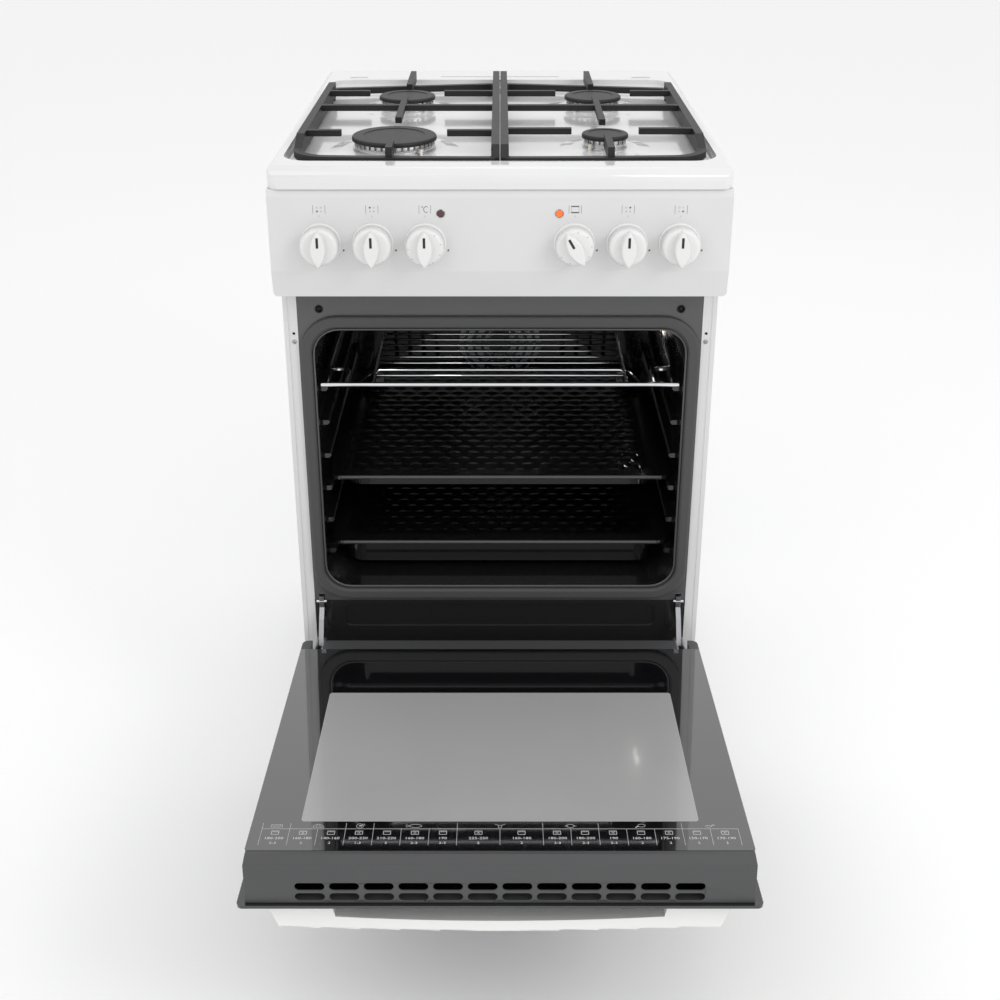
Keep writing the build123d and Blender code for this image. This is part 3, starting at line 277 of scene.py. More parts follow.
# %% Glass
inner_glass = finish("coated_inner_glass", (0.006, 0.006, 0.007), 0.035, coat=1.0, grain=30, bump=0.006,
                     rough_vary=0.01)
inner_glass.node_tree.nodes["Principled BSDF"].inputs["IOR"].default_value = 2.0
outer_glass = finish("backed_outer_glass", (0.012, 0.012, 0.013), 0.05, coat=1.0, grain=30, bump=0.006,
                     rough_vary=0.01)
# The window sheet is opaque grey with no transmission. Its tone is partly the tint of the two panes and partly a
# painted view of the pale floor lying in the door's shadow.
window_painted_view = finish("window_painted_view", (0.365, 0.365, 0.365), 0.16, coat=0.3, grain=40, bump=0.006,
                      rough_vary=0.02, vary=0.02)
lamp_glass = finish("lamp_glass", (0.85, 0.85, 0.82), 0.08, grain=200, bump=0.05)
lamp_shader = lamp_glass.node_tree.nodes["Principled BSDF"]
lamp_shader.inputs["Transmission Weight"].default_value = 0.7
lamp_shader.inputs["Emission Color"].default_value = (1.0, 0.97, 0.92, 1)
lamp_shader.inputs["Emission Strength"].default_value = 6.0
lens_unlit = finish("lens_unlit", (0.060, 0.012, 0.014), 0.15, coat=0.8, grain=200, bump=0.02)
lens_lit = finish("lens_lit", (0.70, 0.13, 0.01), 0.20, coat=0.8, grain=200, bump=0.02)
lit_shader = lens_lit.node_tree.nodes["Principled BSDF"]
lit_shader.inputs["Emission Color"].default_value = (1.0, 0.16, 0.01, 1)
lit_shader.inputs["Emission Strength"].default_value = 0.35
print("finishes:", len(bpy.data.materials))

# %% [markdown]
# Each CAD part takes its finish here. Sheet steel and castings never have knife edges, so each
# part also gets a small round on its edges, drawn by a bevel that leaves the CAD mesh as it is.

# %% Give each CAD part its finish and its edge round
FINISHES = {
    white_enamel: ["side_panel_left", "side_panel_right", "control_panel", "drawer_front"],
    hob_enamel: ["hob_top"],
    dark_plate: ["front_plate"],
    oven_enamel: ["oven_liner", "fan_cover"],
    tray_enamel: ["baking_tray", "roasting_tray"],
    apron_enamel: ["lower_apron"],
    cap_enamel: ["cap_front_left", "cap_rear_left", "cap_rear_right", "cap_front_right"],
    iron_enamel: ["pan_support_left", "pan_support_right"],
    wire_chrome: ["wire_shelf"],
    hinge_chrome: ["hinge_arms"],
    zinc_sheet: ["back_panel", "base_tray", "drawer_box", "drawer_runners", "fan_impeller", "fan_motor",
                 "hinge_channels", "gas_spindle_1", "gas_spindle_2", "gas_spindle_5", "gas_spindle_6",
                 "thermostat_spindle", "function_spindle"],
    burner_aluminium: ["burner_cups", "flame_spreaders", "burner_pipes"],
    element_steel: ["grill_element", "lower_element", "gas_rail"],
    brass: ["gas_taps"],
    profile_paint: ["door_top_profile", "door_side_rails", "door_bottom_rail"],
    knob_plastic: [f"knob_{i}" for i in range(1, 7)],
    handle_plastic: ["door_handle"],
    bezel_plastic: ["knob_bezels"],
    dark_plastic: ["oven_controls", "levelling_feet"],
    seal_rubber: ["oven_gasket"],
    spark_ceramic: ["igniters"],
    mineral_wool: ["insulation"],
    inner_glass: ["door_inner_glass"],
    outer_glass: ["door_outer_glass"],
    lamp_glass: ["lamp_lens"],
    lens_unlit: ["lens_oven"],
    lens_lit: ["lens_power"],
}
EDGE_ROUND = {"pan_support_left": 1.8, "pan_support_right": 1.8, "hob_top": 0.5,
              "door_top_profile": 0.6, "flame_spreaders": 0.35, "control_panel": 0.8, "hinge_arms": 0.6}
NO_ROUND = {"wire_shelf", "grill_element", "lower_element", "gas_rail", "burner_pipes", "igniters",
            "front_plate", "oven_gasket", "door_handle"}


def dress(node, mat):
    """Sets a CAD part's finish and adds the edge round."""
    part = nodes[node]
    part.data.materials.clear()
    part.data.materials.append(mat)
    weld = part.modifiers.new("weld", "WELD")
    weld.merge_threshold = 0.00001
    if node not in NO_ROUND:
        bevel = part.modifiers.new("edge_round", "BEVEL")
        bevel.width = EDGE_ROUND.get(node, 0.25) * MM
        bevel.segments = 2
        bevel.limit_method = "ANGLE"
        bevel.angle_limit = math.radians(40)
        bevel.use_clamp_overlap = True
        bevel.harden_normals = True


for mat, names in FINISHES.items():
    for node in names:
        dress(node, mat)
dressed = {node for names in FINISHES.values() for node in names}
print("parts without a finish:", sorted(set(nodes) - dressed))

# %% [markdown]
# ## Tools for the small pieces
# The small pieces come in four kinds: turned parts such as screws and rings, thin printed or cut
# layers, bent wires, and numbers. One short function makes each kind. All sizes are given in
# millimetres, and a place matrix then lays the piece where it belongs on the range.

# %% Turned parts, layers and wires


def as_mesh(work, sharp=35):
    """Ends a bmesh: outward normals, smooth faces, sharp edges above an angle."""
    bmesh.ops.recalc_face_normals(work, faces=work.faces)
    mesh = bpy.data.meshes.new("work")
    work.to_mesh(mesh)
    work.free()
    mesh.shade_smooth()
    mesh.set_sharp_from_angle(angle=math.radians(sharp))
    return mesh


def turned(profile, steps=40):
    """A turned part: a profile of (radius, height) spun about its own Z axis."""
    work = bmesh.new()
    line = [work.verts.new((r * MM, 0, h * MM)) for r, h in profile]
    edges = [work.edges.new(pair) for pair in zip(line, line[1:])]
    bmesh.ops.spin(work, geom=line + edges, cent=(0, 0, 0), axis=(0, 0, 1), angle=2 * math.pi, steps=steps)
    bmesh.ops.remove_doubles(work, verts=work.verts, dist=1e-6)
    return as_mesh(work)


def layer(fills=(), strokes=(), thick=0.06):
    """A thin raised layer: filled outlines, and strokes given as (points, width, closed)."""
    work = bmesh.new()
    for outline in fills:
        work.faces.new([work.verts.new((x * MM, y * MM, 0)) for x, y in outline])
    for points, width, closed in strokes:
        count = len(points)
        sides = []
        for i, (x, y) in enumerate(points):
            before = points[i - 1] if i or closed else points[i]
            after = points[(i + 1) % count] if i < count - 1 or closed else points[i]
            dx, dy = after[0] - before[0], after[1] - before[1]
            scale = width / 2 / math.hypot(dx, dy) * MM
            sides.append([work.verts.new((x * MM - k * dy * scale, y * MM + k * dx * scale, 0))
                          for k in (-1, 1)])
        for i in range(count if closed else count - 1):
            a, b = sides[i], sides[(i + 1) % count]
            work.faces.new((a[0], b[0], b[1], a[1]))
    raised = bmesh.ops.extrude_face_region(work, geom=work.faces[:])
    top = [v for v in raised["geom"] if isinstance(v, bmesh.types.BMVert)]
    bmesh.ops.translate(work, verts=top, vec=(0, 0, thick * MM))
    return as_mesh(work)


def arc(cx, cy, rx, ry, start=0, end=360, steps=24):
    """Points along an ellipse, from one angle to another, in degrees."""
    turns = [math.radians(start + (end - start) * i / steps) for i in range(steps + (end - start < 360))]
    return [(cx + rx * math.cos(a), cy + ry * math.sin(a)) for a in turns]


def round_box(w, h, r, cx=0, cy=0):
    """The outline of a rectangle with round corners."""
    points = []
    for sx, sy, start in ((1, 1, 0), (-1, 1, 90), (-1, -1, 180), (1, -1, 270)):
        points += arc(cx + sx * (w / 2 - r), cy + sy * (h / 2 - r), r, r, start, start + 90, 6)
    return points


def wire(points, radius, closed=False, sides=8):
    """A round wire through points in metres; radius in millimetres."""
    data = bpy.data.curves.new("wire", "CURVE")
    data.dimensions = "3D"
    spline = data.splines.new("POLY")
    spline.points.add(len(points) - 1)
    for point, place in zip(spline.points, points):
        point.co = (*place, 1)
    spline.use_cyclic_u = closed
    data.bevel_depth = radius * MM
    data.bevel_resolution = sides // 4
    data.use_fill_caps = not closed
    holder = bpy.data.objects.new("wire", data)
    mesh = bpy.data.meshes.new_from_object(holder)
    bpy.data.objects.remove(holder)
    mesh.shade_smooth()
    return mesh


def add(name, mesh, mat, body, place=None):
    """Adds a mesh as one piece that rides on a CAD body."""
    if place is not None:
        mesh.transform(place)
    mesh.materials.clear()
    mesh.materials.append(mat)
    piece = bpy.data.objects.new(name, mesh)
    bpy.context.collection.objects.link(piece)
    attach(piece, body)
    return piece


def facing_front(x, y, z, turn=0.0):
    """A place on a face that looks to the front: drawing up is up, thickness comes forward."""
    lean = Matrix.Rotation(turn, 4, "Y") @ Matrix.Rotation(math.pi / 2, 4, "X")
    return Matrix.Translation((x, y, z)) @ lean


def facing_back(x, y, z):
    return Matrix.Translation((x, y, z)) @ Matrix.Rotation(-math.pi / 2, 4, "X")


# %% [markdown]
# ## Control panel print
# The marks over the knobs are screen-printed ink, a few hundredths of a millimetre thick. Each
# burner mark shows the four burners as dots between two bars, and fills the one that its knob
# feeds. They could be painted in the material, but thin layers stay sharp at any distance.

# %% Marks over the knobs
KNOBS = [f"knob_{i}" for i in range(1, 7)]
KNOB_X = [middle(name).x for name in KNOBS]
KNOB_Z = middle("knob_1").z
MARK_Z = KNOB_Z + 37.5 * MM
TICK_Z = KNOB_Z + 30 * MM
LOW_MARK = (24.6 * MM, -8 * MM)
LOW_MARK_TURN = 0.5
DOT = 2.1


def bars(gap=6.6, tall=4.6):
    return [([(s * gap, -tall), (s * gap, tall)], 0.38, False) for s in (-1, 1)]


def burner_mark(filled):
    """Four dots between bars; the filled corner is (side, row)."""
    fills, strokes = [], bars()
    for corner in ((-1, 1), (1, 1), (-1, -1), (1, -1)):
        ring = arc(corner[0] * DOT, corner[1] * DOT, 0.75, 0.75, steps=16)
        if corner == filled:
            fills.append(arc(corner[0] * DOT, corner[1] * DOT, 1.05, 1.05, steps=16))
        else:
            strokes.append((ring, 0.22, True))
    return layer(fills, strokes)


def degree_mark():
    strokes = bars(6.2) + [(arc(-2.7, 2.7, 0.8, 0.8, steps=14), 0.35, True),
                           (arc(1.4, 0, 2.6, 3.3, 50, 310, 18), 0.65, False)]
    return layer(strokes=strokes)


def oven_mark():
    strokes = bars(6.6) + [([(-4.3, s * 3.4), (4.3, s * 3.4)], 1.3, False) for s in (-1, 1)]
    strokes += [([(s * 4.1, -3.4), (s * 4.1, 3.4)], 0.2, False) for s in (-1, 1)]
    return layer(strokes=strokes)


marks = [burner_mark((-1, -1)), burner_mark((-1, 1)), degree_mark(),
         oven_mark(), burner_mark((1, 1)), burner_mark((1, -1))]
for number, (x, mark) in enumerate(zip(KNOB_X, marks), start=1):
    add(f"panel_mark_{number}", mark, print_ink, "casing",
        facing_front(x, FASCIA_Y, MARK_Z))
    tick = layer([round_box(0.8, 1.9, 0.3)])
    add(f"panel_tick_{number}", tick, legend_ink, "casing",
        facing_front(x, FASCIA_Y, TICK_Z))
    flame = layer([arc(0, 0, 0.9, 1.4, steps=14)])
    add(f"panel_low_mark_{number}", flame, print_ink, "casing",
        facing_front(x + LOW_MARK[0], FASCIA_Y, KNOB_Z + LOW_MARK[1], LOW_MARK_TURN))
print("panel marks:", len(marks))

# %% [markdown]
# Each knob has a black line let into the groove at the top of its grip, and fine lines on its
# skirt. The oven function knob stands turned, so its pieces turn with it about its own centre.

# %% Pointer lines and skirt lines
FUNCTION_TURN = -math.radians(30)
KNOB_SKIRT = 13.0
for name, x in zip(KNOBS, KNOB_X):
    turn = FUNCTION_TURN if name == "knob_4" else 0.0
    tip = low(name, 1)
    pointer = layer([round_box(2.7, 11.3, 0.9, 0, 8.75)], thick=0.85)
    add(f"{name}_pointer", pointer, pointer_ink, name,
        facing_front(x, tip + 0.8 * MM, KNOB_Z, turn))
    skirt_face = high(name, 1) - KNOB_SKIRT * MM
    lines = [([(0, 16.4), (0, 18.6)], 0.5, False)]
    if name in ("knob_3", "knob_4"):
        for i in range(1, 8):
            a = math.radians(90 - 38 * i)
            ends = [(r * math.cos(a), r * math.sin(a)) for r in (17.0, 18.6)]
            lines.append((ends, 0.35, False))
    skirt = layer(strokes=lines, thick=0.12)
    add(f"{name}_skirt_lines", skirt, print_ink, name,
        facing_front(x, skirt_face + 0.06 * MM, KNOB_Z, turn))

# %% [markdown]
# The two indicator lenses sit in thin chromed rings, which hide the edge of their holes.

# %% Lens rings
for name in ("lens_oven", "lens_power"):
    centre = middle(name)
    radius = (high(name, 0) - low(name, 0)) / 2 / MM
    ring = turned([(radius + 0.1, 0), (radius + 0.1, 0.7), (radius + 0.4, 0.9), (radius + 0.9, 0.5),
                   (radius + 1.0, 0), (radius + 0.1, 0)])
    add(f"{name}_ring", ring, hinge_chrome, "casing", facing_front(centre.x, FASCIA_Y, centre.z))

# %% [markdown]
# ## The inside of the door
# The inner pane is printed black round a clear window, and carries a cooking chart along its
# top edge. With the door open, the chart reads the right way up from the front. All of it is
# drawn as if the door were shut, and then turned open about the hinge pins.

# %% The door's own plane
TURN = Matrix.Translation(PIN) @ Matrix.Rotation(OPEN, 4, "X") @ Matrix.Translation(-PIN)
shut = TURN.inverted()
pane = [shut @ v.co for v in nodes["door_inner_glass"].data.vertices]
PANE_Y = max(v.y for v in pane)
PANE_Z0 = min(v.z for v in pane)
PANE_Z1 = max(v.z for v in pane)
PANE_HALF = max(v.x for v in pane)
print("shut pane, mm:", [round(v / MM, 1) for v in (PANE_Y, PANE_Z0, PANE_Z1, PANE_HALF)])


def on_pane(x, z):
    """A place on the pane: drawing up points to the hinge, thickness comes off the glass."""
    return TURN @ Matrix.Translation((x, PANE_Y, z)) @ Matrix.Rotation(-math.pi / 2, 4, "X")


# The window keeps clear of the pane's edges, and the chart has its band above the window.
WINDOW_HALF = 194.0
WINDOW_Z0 = PANE_Z0 + 102 * MM
WINDOW_Z1 = PANE_Z1 - 45 * MM
window_h = (WINDOW_Z1 - WINDOW_Z0) / MM
window = layer([round_box(2 * WINDOW_HALF, window_h, 3)], thick=0.05)
# The clear window is drawn as an opaque grey layer; its tone is painted see-through shade.
add("door_window", window, window_painted_view, "door", on_pane(0, (WINDOW_Z0 + WINDOW_Z1) / 2))
edge = layer(strokes=[(round_box(2 * WINDOW_HALF, window_h, 3), 0.7, True)], thick=0.08)
add("door_window_edge", edge, legend_ink, "door", on_pane(0, (WINDOW_Z0 + WINDOW_Z1) / 2))

# %% [markdown]
# The chart has sixteen columns. A dish is drawn over each group of columns, and under it come
# the heating mode, the temperature and the shelf level. The small dish drawings are a few arcs
# each. Only numbers are written out.

# %% The cooking chart
COLUMN = 27.0
WIDE = 41.5
GROUPS = [(1, COLUMN), (2, COLUMN), (1, COLUMN), (3, COLUMN),
          (2, WIDE), (2, COLUMN), (3, COLUMN), (2, COLUMN)]
HEATS = ["180-200", "160-180", "140-160", "200-230", "210-220", "160-180", "190", "225-250",
         "160-180", "180-200", "180-200", "190", "160-180", "175-190", "150-170", "170-190"]
LEVELS = ["2-3", "2", "2", "1-3", "2", "2-3", "2-3", "2", "2", "2-3", "2-3", "2-3", "2", "2", "2", "2"]
CHART_Z = WINDOW_Z1 + 4 * MM
RULE, SYMBOL, HEAT, LEVEL, CHART_END = -8, -14, -24, -31, -33

widths = [w for count, w in GROUPS for _ in range(count)]
chart_half = sum(widths) / 2
edges = [-chart_half + sum(widths[:i]) for i in range(len(widths) + 1)]
columns = [(a + b) / 2 for a, b in zip(edges, edges[1:])]


def shifted(strokes, dx, dy):
    return [([(x + dx, y + dy) for x, y in points], width, closed) for points, width, closed in strokes]


def dish_drawings():
    """Eight small line drawings: bake, pie, pizza, fish, joint, poultry, drumstick, vegetables."""
    w = 0.35
    bake = [(round_box(11, 4, 1), w, True), ([(-4, 1), (-2, -1), (0, 1), (2, -1), (4, 1)], w, False)]
    pie = [(arc(0, -2, 5, 4.5, 0, 180, 16), w, False), ([(-6, -2), (6, -2)], w, False),
           ([(-2, -2), (-1, 2)], w, False), ([(2, -2), (1, 2)], w, False)]
    pizza = [(arc(0, 0, 3.4, 3.4, 40, 360, 20), w, False), (arc(0.4, 0.2, 1.2, 1.2, steps=12), w, True),
             ([(0, 0), (5, 1.6), (4, 3.2), (0, 0.4)], w, False)]
    fish = [(arc(0, 0, 6, 2.4, 0, 360, 24), w, True), ([(-6, 0), (-9, 2), (-9, -2), (-6, 0)], w, False)]
    joint = [([(-5, 3), (-1.6, 1), (-1.4, -3), (1.4, -3), (1.6, 1), (5, 3)], w, False),
             ([(-1.6, 1), (1.6, 1)], w, False)]
    poultry = [(arc(0, 0, 3.4, 2.6, 0, 360, 20), w, True), ([(3, 1), (5.5, 0), (3, -1)], w, False),
               ([(-3, 1), (-5.5, 0), (-3, -1)], w, False)]
    drumstick = [(arc(1.5, 0.6, 3.6, 2.2, 0, 360, 20), w, True), ([(-1.6, -0.6), (-4.6, -2.4)], 0.8, False)]
    greens = [(arc(-1, -0.6, 2.8, 1.5, 0, 360, 18), w, True), ([(1.5, 0.4), (5, 2.8)], w, False),
              ([(1.8, -0.2), (5.4, 1)], w, False)]
    return [bake, pie, pizza, fish, joint, poultry, drumstick, greens]


def heat_symbols():
    """A small oven frame per column; every other one carries the fan."""
    strokes = []
    for i, x in enumerate(columns):
        strokes.append((round_box(7, 5.4, 0.4, x, SYMBOL), 0.45, True))
        strokes.append(([(x - 2.6, SYMBOL + 1.4), (x + 2.6, SYMBOL + 1.4)], 0.45, False))
        if i % 2:
            fan = [(x - 1.2, SYMBOL - 1.4), (x, SYMBOL + 0.4), (x + 1.2, SYMBOL - 1.4)]
            strokes.append((fan, 0.6, False))
    return strokes


chart = [([(-chart_half, RULE), (chart_half, RULE)], 0.4, False)]
start = 0
for (count, width), drawing in zip(GROUPS, dish_drawings()):
    x0, x1 = edges[start], edges[start + count]
    chart += shifted(drawing, (x0 + x1) / 2, -3.5)
    chart.append(([(x0, 1), (x0, RULE)], 0.3, False))
    start += count
chart += [([(x, RULE), (x, CHART_END)], 0.3, False) for x in edges]
chart += heat_symbols()
add("door_chart_lines", layer(strokes=chart, thick=0.05), chart_ink, "door",
    on_pane(0, CHART_Z))

# %% [markdown]
# The numbers come from the built-in font, turned into a mesh and thickened like the other ink.

# %% The chart's numbers


def numbers(texts, places, size):
    """All the numbers of one row as a single thin mesh."""
    work = bmesh.new()
    for text, (x, y) in zip(texts, places):
        data = bpy.data.curves.new("number", "FONT")
        data.body = text
        data.size = size * MM
        data.align_x = "CENTER"
        data.resolution_u = 2
        data.extrude = 0.03 * MM
        holder = bpy.data.objects.new("number", data)
        mesh = bpy.data.meshes.new_from_object(holder)
        mesh.transform(Matrix.Translation((x * MM, y * MM, 0.03 * MM)) @ Matrix.Diagonal((1.15, 1, 1, 1)))
        work.from_mesh(mesh)
        bpy.data.meshes.remove(mesh)
        bpy.data.objects.remove(holder)
    return as_mesh(work)


heats = numbers(HEATS, [(x, HEAT) for x in columns], 4.9)
levels = numbers(LEVELS, [(x, LEVEL) for x in columns], 4.5)
add("door_chart_heats", heats, chart_ink, "door", on_pane(0, CHART_Z))
add("door_chart_levels", levels, chart_ink, "door", on_pane(0, CHART_Z))
print("chart columns:", len(columns), "half width", chart_half)

# %% [markdown]
# ## Trays and shelf
# The floor of an oven tray is pressed into rows of shallow domes, so that food doesn't stick
# flat to it. A bump texture would not catch the light at a low angle, so the domes are real:
# a fine grid, lifted by a formula, lying just over the tray's flat floor.

# %% Pressed tray floors
DOME_STEP = (24.0, 17.0)
DOME_HALF = (11.0, 7.4)
DOME_RISE = 1.3
TRAY_RIM = 17
TRAY_SHEET = 1.2


def dome_height(x, y):
    """Height of the nearest dome at a place in millimetres; rows are staggered."""
    row = round(y / DOME_STEP[1])
    across = x - (row % 2) * DOME_STEP[0] / 2
    dx = (across - round(across / DOME_STEP[0]) * DOME_STEP[0]) / DOME_HALF[0]
    dy = (y - row * DOME_STEP[1]) / DOME_HALF[1]
    return DOME_RISE * max(0.0, 1 - dx * dx - dy * dy) ** 1.5


def pressed_floor(half, y0, y1, step=2.4):
    work = bmesh.new()
    nx = round(2 * half / step)
    ny = round((y1 - y0) / step)
    rows = []
    for j in range(ny + 1):
        y = y0 + (y1 - y0) * j / ny
        row = []
        for i in range(nx + 1):
            x = -half + 2 * half * i / nx
            rim = min(half - abs(x), y - y0, y1 - y)
            lift = min(1.0, rim / 4.0) * dome_height(x, y) - (0.5 if rim < 0.1 else 0.0)
            row.append(work.verts.new((x * MM, y * MM, lift * MM)))
        rows.append(row)
    for a, b in zip(rows, rows[1:]):
        for i in range(nx):
            work.faces.new((a[i], a[i + 1], b[i + 1], b[i]))
    return as_mesh(work, 80)


for name in ("baking_tray", "roasting_tray"):
    inner = high(name, 0) / MM - TRAY_RIM - TRAY_SHEET
    y0 = low(name, 1) / MM + TRAY_RIM + TRAY_SHEET
    y1 = high(name, 1) / MM - TRAY_RIM - TRAY_SHEET
    floor_z = low(name, 2) + TRAY_SHEET * MM + 0.05 * MM
    domes = pressed_floor(inner - 9, y0 + 9, y1 - 9)
    add(f"{name}_pressed_floor", domes, tray_enamel, name,
        Matrix.Translation((0, 0, floor_z)))
    half = high(name, 0) - 15 * MM
    front, top = low(name, 1) + 0.4 * MM, high(name, 2) - 1.9 * MM
    # The front bead takes the lighter bead enamel: a painted highlight along the rim.
    bead = wire([(-half, front, top), (half, front, top)], 2.2, sides=16)
    add(f"{name}_front_bead", bead, bead_enamel_painted_highlight, name)

# %% [markdown]
# The wire shelf has a guard wire behind its front bar. It leaves the bar near each end, steps
# back, and runs across, so that dishes don't slide off.

# %% Shelf guard wire
GUARD_END = 46 * MM
GUARD_LEAN = 15 * MM
GUARD_DEPTH = 46 * MM
shelf_z = middle("wire_shelf").z
shelf_front = low("wire_shelf", 1) + 3 * MM
outer = high("wire_shelf", 0) - GUARD_END
inner_x = outer - GUARD_LEAN
step_back = shelf_front + GUARD_DEPTH
guard = [(-outer, shelf_front, shelf_z), (-outer, shelf_front + 8 * MM, shelf_z),
         (-inner_x - 4 * MM, step_back - 8 * MM, shelf_z), (-inner_x + 4 * MM, step_back, shelf_z)]
guard += [(-x, y, z) for x, y, z in reversed(guard)]
add("shelf_guard_wire", wire(guard, 2.0, sides=12), wire_chrome, "wire_shelf")

# %% [markdown]
# ## Oven mouth and cavity
# The liner's edge is rolled into a bead inside the seal. Its round form catches a thin line of light all round the
# mouth, and its enamel is painted lighter than the liner's as a painted highlight. Inside, the lamp glass has a
# steel ring, the thermostat's probe is clipped to the right wall, and four screws hold the fan cover.

# %% Mouth bead, lamp ring, probe and clips
mouth_half = (high("oven_gasket", 0) - 15 * MM) / MM
mouth_z0 = (low("oven_gasket", 2) + 16 * MM) / MM
mouth_z1 = (high("oven_gasket", 2) - 16 * MM) / MM
outline = round_box(2 * mouth_half - 1, mouth_z1 - mouth_z0 - 1, 30.5, 0, (mouth_z0 + mouth_z1) / 2)
mouth = [(x * MM, PLATE_Y - 0.6 * MM, z * MM) for x, z in outline]
add("mouth_bead", wire(mouth, 1.5, closed=True, sides=12), bead_enamel_painted_highlight, "casing")

lamp_centre = middle("lamp_lens")
LAMP_DOME = 9 * MM
LINER_EDGE = 8 * MM
lamp_wall = low("lamp_lens", 0) + LAMP_DOME
ring = turned([(17.4, 0.2), (17.4, 3.4), (18.2, 4.2), (20.4, 3.0), (21.2, 0.2), (17.4, 0.2)])
add("lamp_ring", ring, hinge_chrome, "casing",
    Matrix.Translation((lamp_wall, lamp_centre.y, lamp_centre.z)) @ Matrix.Rotation(-math.pi / 2, 4, "Y"))

wall_x = high("oven_liner", 0) - LINER_EDGE
probe_z = high("oven_liner", 2) - LINER_EDGE - 27 * MM
probe_x = wall_x - 5 * MM
probe = [(probe_x, high("fan_cover", 1) - 2 * MM, probe_z), (probe_x, -20 * MM, probe_z)]
add("thermostat_probe", wire(probe, 2.2, sides=16), hinge_chrome, "casing")
for i, y in enumerate((100, 10), start=1):
    half = [(4.6, 6), (2.6, 2.6), (-1, 3.4)]
    bend = [(dx, -dz) for dx, dz in half] + [(-3.4, 0)] + half[::-1]
    clip = [(probe_x + dx * MM, y * MM, probe_z + dz * MM) for dx, dz in bend]
    add(f"probe_clip_{i}", wire(clip, 1.0), hinge_chrome, "casing")

# %% [markdown]
# ## Screws
# One screw is turned from a profile, and a cross is sunk into its head. Cutting the cross with a
# boolean once and reusing the mesh is cheaper than cutting every screw.

# %% The cross-head screw


def cross_screw(radius, tall):
    """A pan-head screw with a sunk cross."""
    head = turned([(0, tall), (radius * 0.45, tall * 0.97), (radius * 0.8, tall * 0.72),
                   (radius, tall * 0.25), (radius, 0), (0, 0)], 28)
    solid = bpy.data.objects.new("head", head)
    arm, thin = radius * 0.55, radius * 0.13
    cross = [(thin, thin), (thin, arm), (-thin, arm), (-thin, thin), (-arm, thin), (-arm, -thin),
             (-thin, -thin), (-thin, -arm), (thin, -arm), (thin, -thin), (arm, -thin), (arm, thin)]
    cutter = bpy.data.objects.new("cross", layer([cross], thick=tall))
    cutter.location.z = tall * 0.45 * MM
    for part in (solid, cutter):
        bpy.context.collection.objects.link(part)
    cut = solid.modifiers.new("cross", "BOOLEAN")
    cut.object = cutter
    cut.solver = "EXACT"
    bpy.context.view_layer.update()
    ready = solid.evaluated_get(bpy.context.evaluated_depsgraph_get())
    mesh = bpy.data.meshes.new_from_object(ready)
    for part in (solid, cutter):
        bpy.data.objects.remove(part)
    return mesh


large_screw = cross_screw(3.4, 2.2)
small_screw = cross_screw(2.6, 1.7)
stile_x = HALF - 13 * MM
mouth_top = high("oven_liner", 2) - LINER_EDGE
for side, label in ((-1, "left"), (1, "right")):
    add(f"stile_screw_{label}", small_screw.copy(), screw_zinc, "casing",
        facing_front(side * stile_x, PLATE_Y, mouth_top - 16 * MM))
    plate_x = side * (high("front_plate", 0) - 25 * MM)
    add(f"plate_screw_{label}", small_screw.copy(), dark_screw, "casing",
        facing_front(plate_x, PLATE_Y + 1.0 * MM, low("control_panel", 2) - 29 * MM))
    sunk = turned([(3.7, 0), (3.7, 0.5), (4.4, 0.7), (5.0, 0.2), (5.0, 0), (3.7, 0)], 28)
    add(f"plate_screw_cup_{label}", sunk, dark_screw, "casing",
        facing_front(plate_x, PLATE_Y, low("control_panel", 2) - 29 * MM))

back_y = high("back_panel", 1)
back_half = high("back_panel", 0) - 5 * MM
back_z = [low("back_panel", 2) + f * (high("back_panel", 2) - low("back_panel", 2)) for f in
          (0.03, 0.27, 0.5, 0.73, 0.97)]
for i, z in enumerate(back_z):
    for side, label in ((-1, "left"), (1, "right")):
        add(f"back_screw_{label}_{i + 1}", large_screw.copy(), screw_zinc, "casing",
            facing_back(side * back_half, back_y, z))
cover_y = low("fan_cover", 1)
for i, (sx, sz) in enumerate(((-1, -1), (1, -1), (-1, 1), (1, 1)), start=1):
    centre = middle("fan_cover")
    half_x = high("fan_cover", 0) - 16 * MM
    half_z = (high("fan_cover", 2) - low("fan_cover", 2)) / 2 - 16 * MM
    add(f"fan_cover_screw_{i}", small_screw.copy(), screw_zinc, "casing",
        facing_front(sx * half_x, cover_y, centre.z + sz * half_z))

# %% [markdown]
# ## Back of the range
# The back is plain zinc-coated sheet. It gets pressed stiffening beads, a rubber grommet in the
# cable hole and a blank rating plate with two rivets.

# %% Stiffening beads, grommet and plate
for i, x in enumerate((-150, 0, 150), start=1):
    bead = layer([round_box(13, 430, 6.4)], thick=0.9)
    piece = add(f"back_bead_{i}", bead, zinc_sheet, "casing", facing_back(x * MM, back_y, 0.34))
    soft = piece.modifiers.new("pressed", "BEVEL")
    soft.width = 0.8 * MM
    soft.segments = 3
    soft.limit_method = "ANGLE"

gland = next(m for m in frame["record"]["mounts"] if m["name"] == "cable_gland")["pos_m"]
grommet = turned([(8.3, -1.5), (8.2, 1.2), (8.9, 2.2), (10.6, 2.2), (11.6, 1.2), (11.8, 0), (8.3, 0)])
add("cable_grommet", grommet, seal_rubber, "casing", facing_back(gland[0], back_y, gland[2]))
plate = layer([round_box(78, 44, 3)], thick=0.4)
add("rating_plate", plate, screw_zinc, "casing", facing_back(0.105, back_y, 0.66))
frame_line = layer(strokes=[(round_box(72, 38, 2), 0.5, True)], thick=0.06)
add("rating_plate_line", frame_line, print_ink, "casing",
    facing_back(0.105, back_y + 0.4 * MM, 0.66))
for i, x in enumerate((-34.5, 34.5), start=1):
    rivet = turned([(0, 1.2), (1.0, 1.05), (1.8, 0.5), (2.0, 0), (0, 0)], 20)
    add(f"rating_plate_rivet_{i}", rivet, screw_zinc, "casing",
        facing_back(0.105 + x * MM, back_y + 0.4 * MM, 0.66))

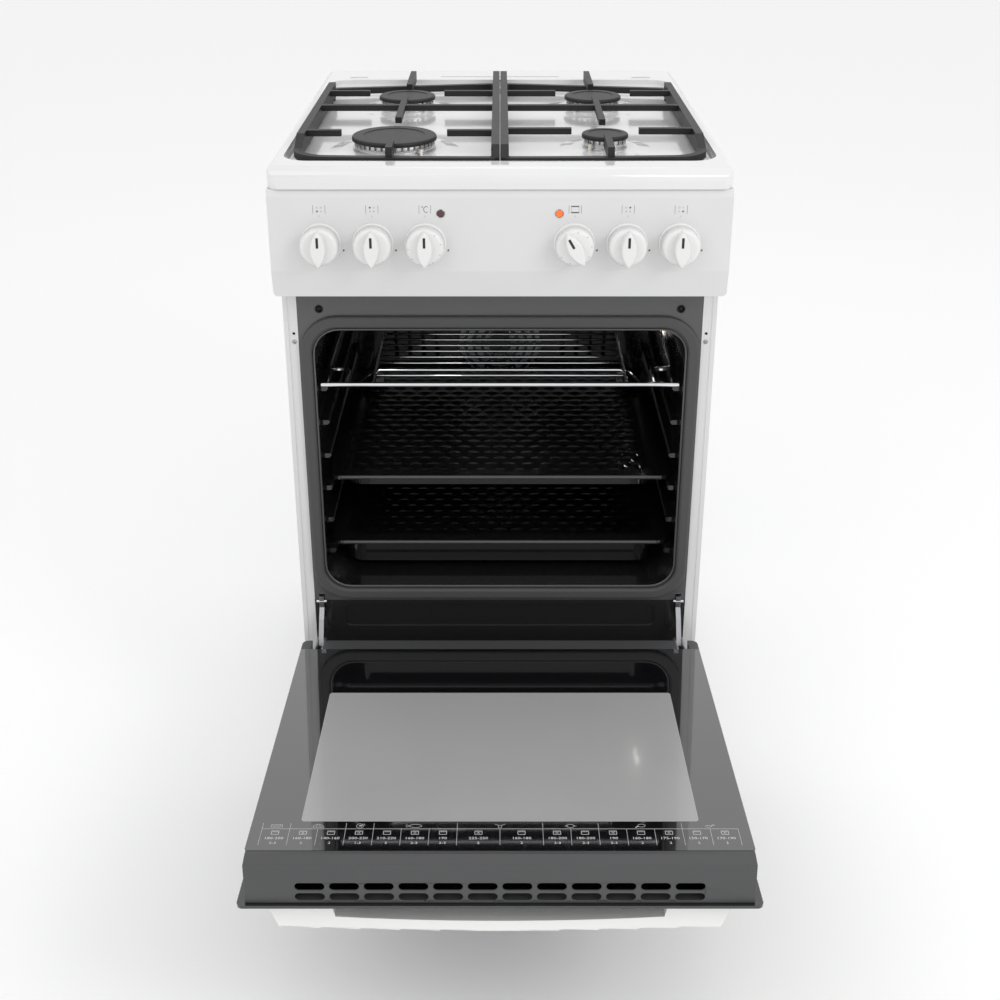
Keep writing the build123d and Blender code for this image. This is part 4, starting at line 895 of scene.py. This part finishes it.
# %% [markdown]
# ## Hob details
# Each burner has a ceramic spark plug and a flame probe. The spark plug ends in a short steel
# pin and the probe in a copper tip. The lid slots in the rear ledge have thin plastic frames.

# %% Spark pins, probe tips and slot frames


def lumps(node, near=4.5 * MM):
    """Centres of the separate upright rods in a node, with their top."""
    found = []
    for v in nodes[node].data.vertices:
        home = next((g for g in found if (g[0].co.xy - v.co.xy).length < near), None)
        if home is None:
            found.append([v])
        else:
            home.append(v)
    ends = []
    for group in found:
        xs, ys = [v.co.x for v in group], [v.co.y for v in group]
        ends.append(Vector(((min(xs) + max(xs)) / 2, (min(ys) + max(ys)) / 2, max(v.co.z for v in group))))
    return ends


rods = sorted(lumps("igniters"), key=lambda p: (p.x > 0, p.y))
for i, end in enumerate(rods, start=1):
    spark = i % 2 == 0
    tip = turned([(0, 2.4), (0.5, 2.2), (0.7, 1.6), (0.7, 0), (0, 0)], 16) if spark else \
        turned([(0, 2.4), (0.9, 2.1), (1.3, 1.3), (1.4, 0), (0, 0)], 20)
    add(f"burner_tip_{i}", tip, screw_zinc if spark else probe_copper, "casing",
        Matrix.Translation(end))
print("spark plugs and probes:", len(rods))

for mount in frame["record"]["mounts"]:
    if mount["name"].startswith("lid_hinge"):
        x, y, _ = mount["pos_m"]
        slot_frame = layer(strokes=[(round_box(26.4, 8.4, 2), 1.6, True)], thick=0.5)
        add(f"{mount['name']}_frame", slot_frame, bezel_plastic, "casing",
            Matrix.Translation((x, y, RIM_Z - 0.05 * MM)))

# %% [markdown]
# ## Hinge rollers
# Each hinge arm carries a chromed roller just in front of the plate, which the door's channel
# rides on as it closes.

# %% Rollers
arm_x = (high("hinge_arms", 0) - 9 * MM)
for side, label in ((-1, "left"), (1, "right")):
    roller = turned([(0, -6.4), (1.7, -6.4), (2.1, -6.0), (2.1, 6.0), (1.7, 6.4), (0, 6.4)], 24)
    roller_place = Matrix.Translation((side * arm_x, PLATE_Y - 3.2 * MM, PIN.z + 50 * MM))
    add(f"hinge_roller_{label}", roller, wire_chrome, "casing",
        roller_place @ Matrix.Rotation(math.pi / 2, 4, "Y"))
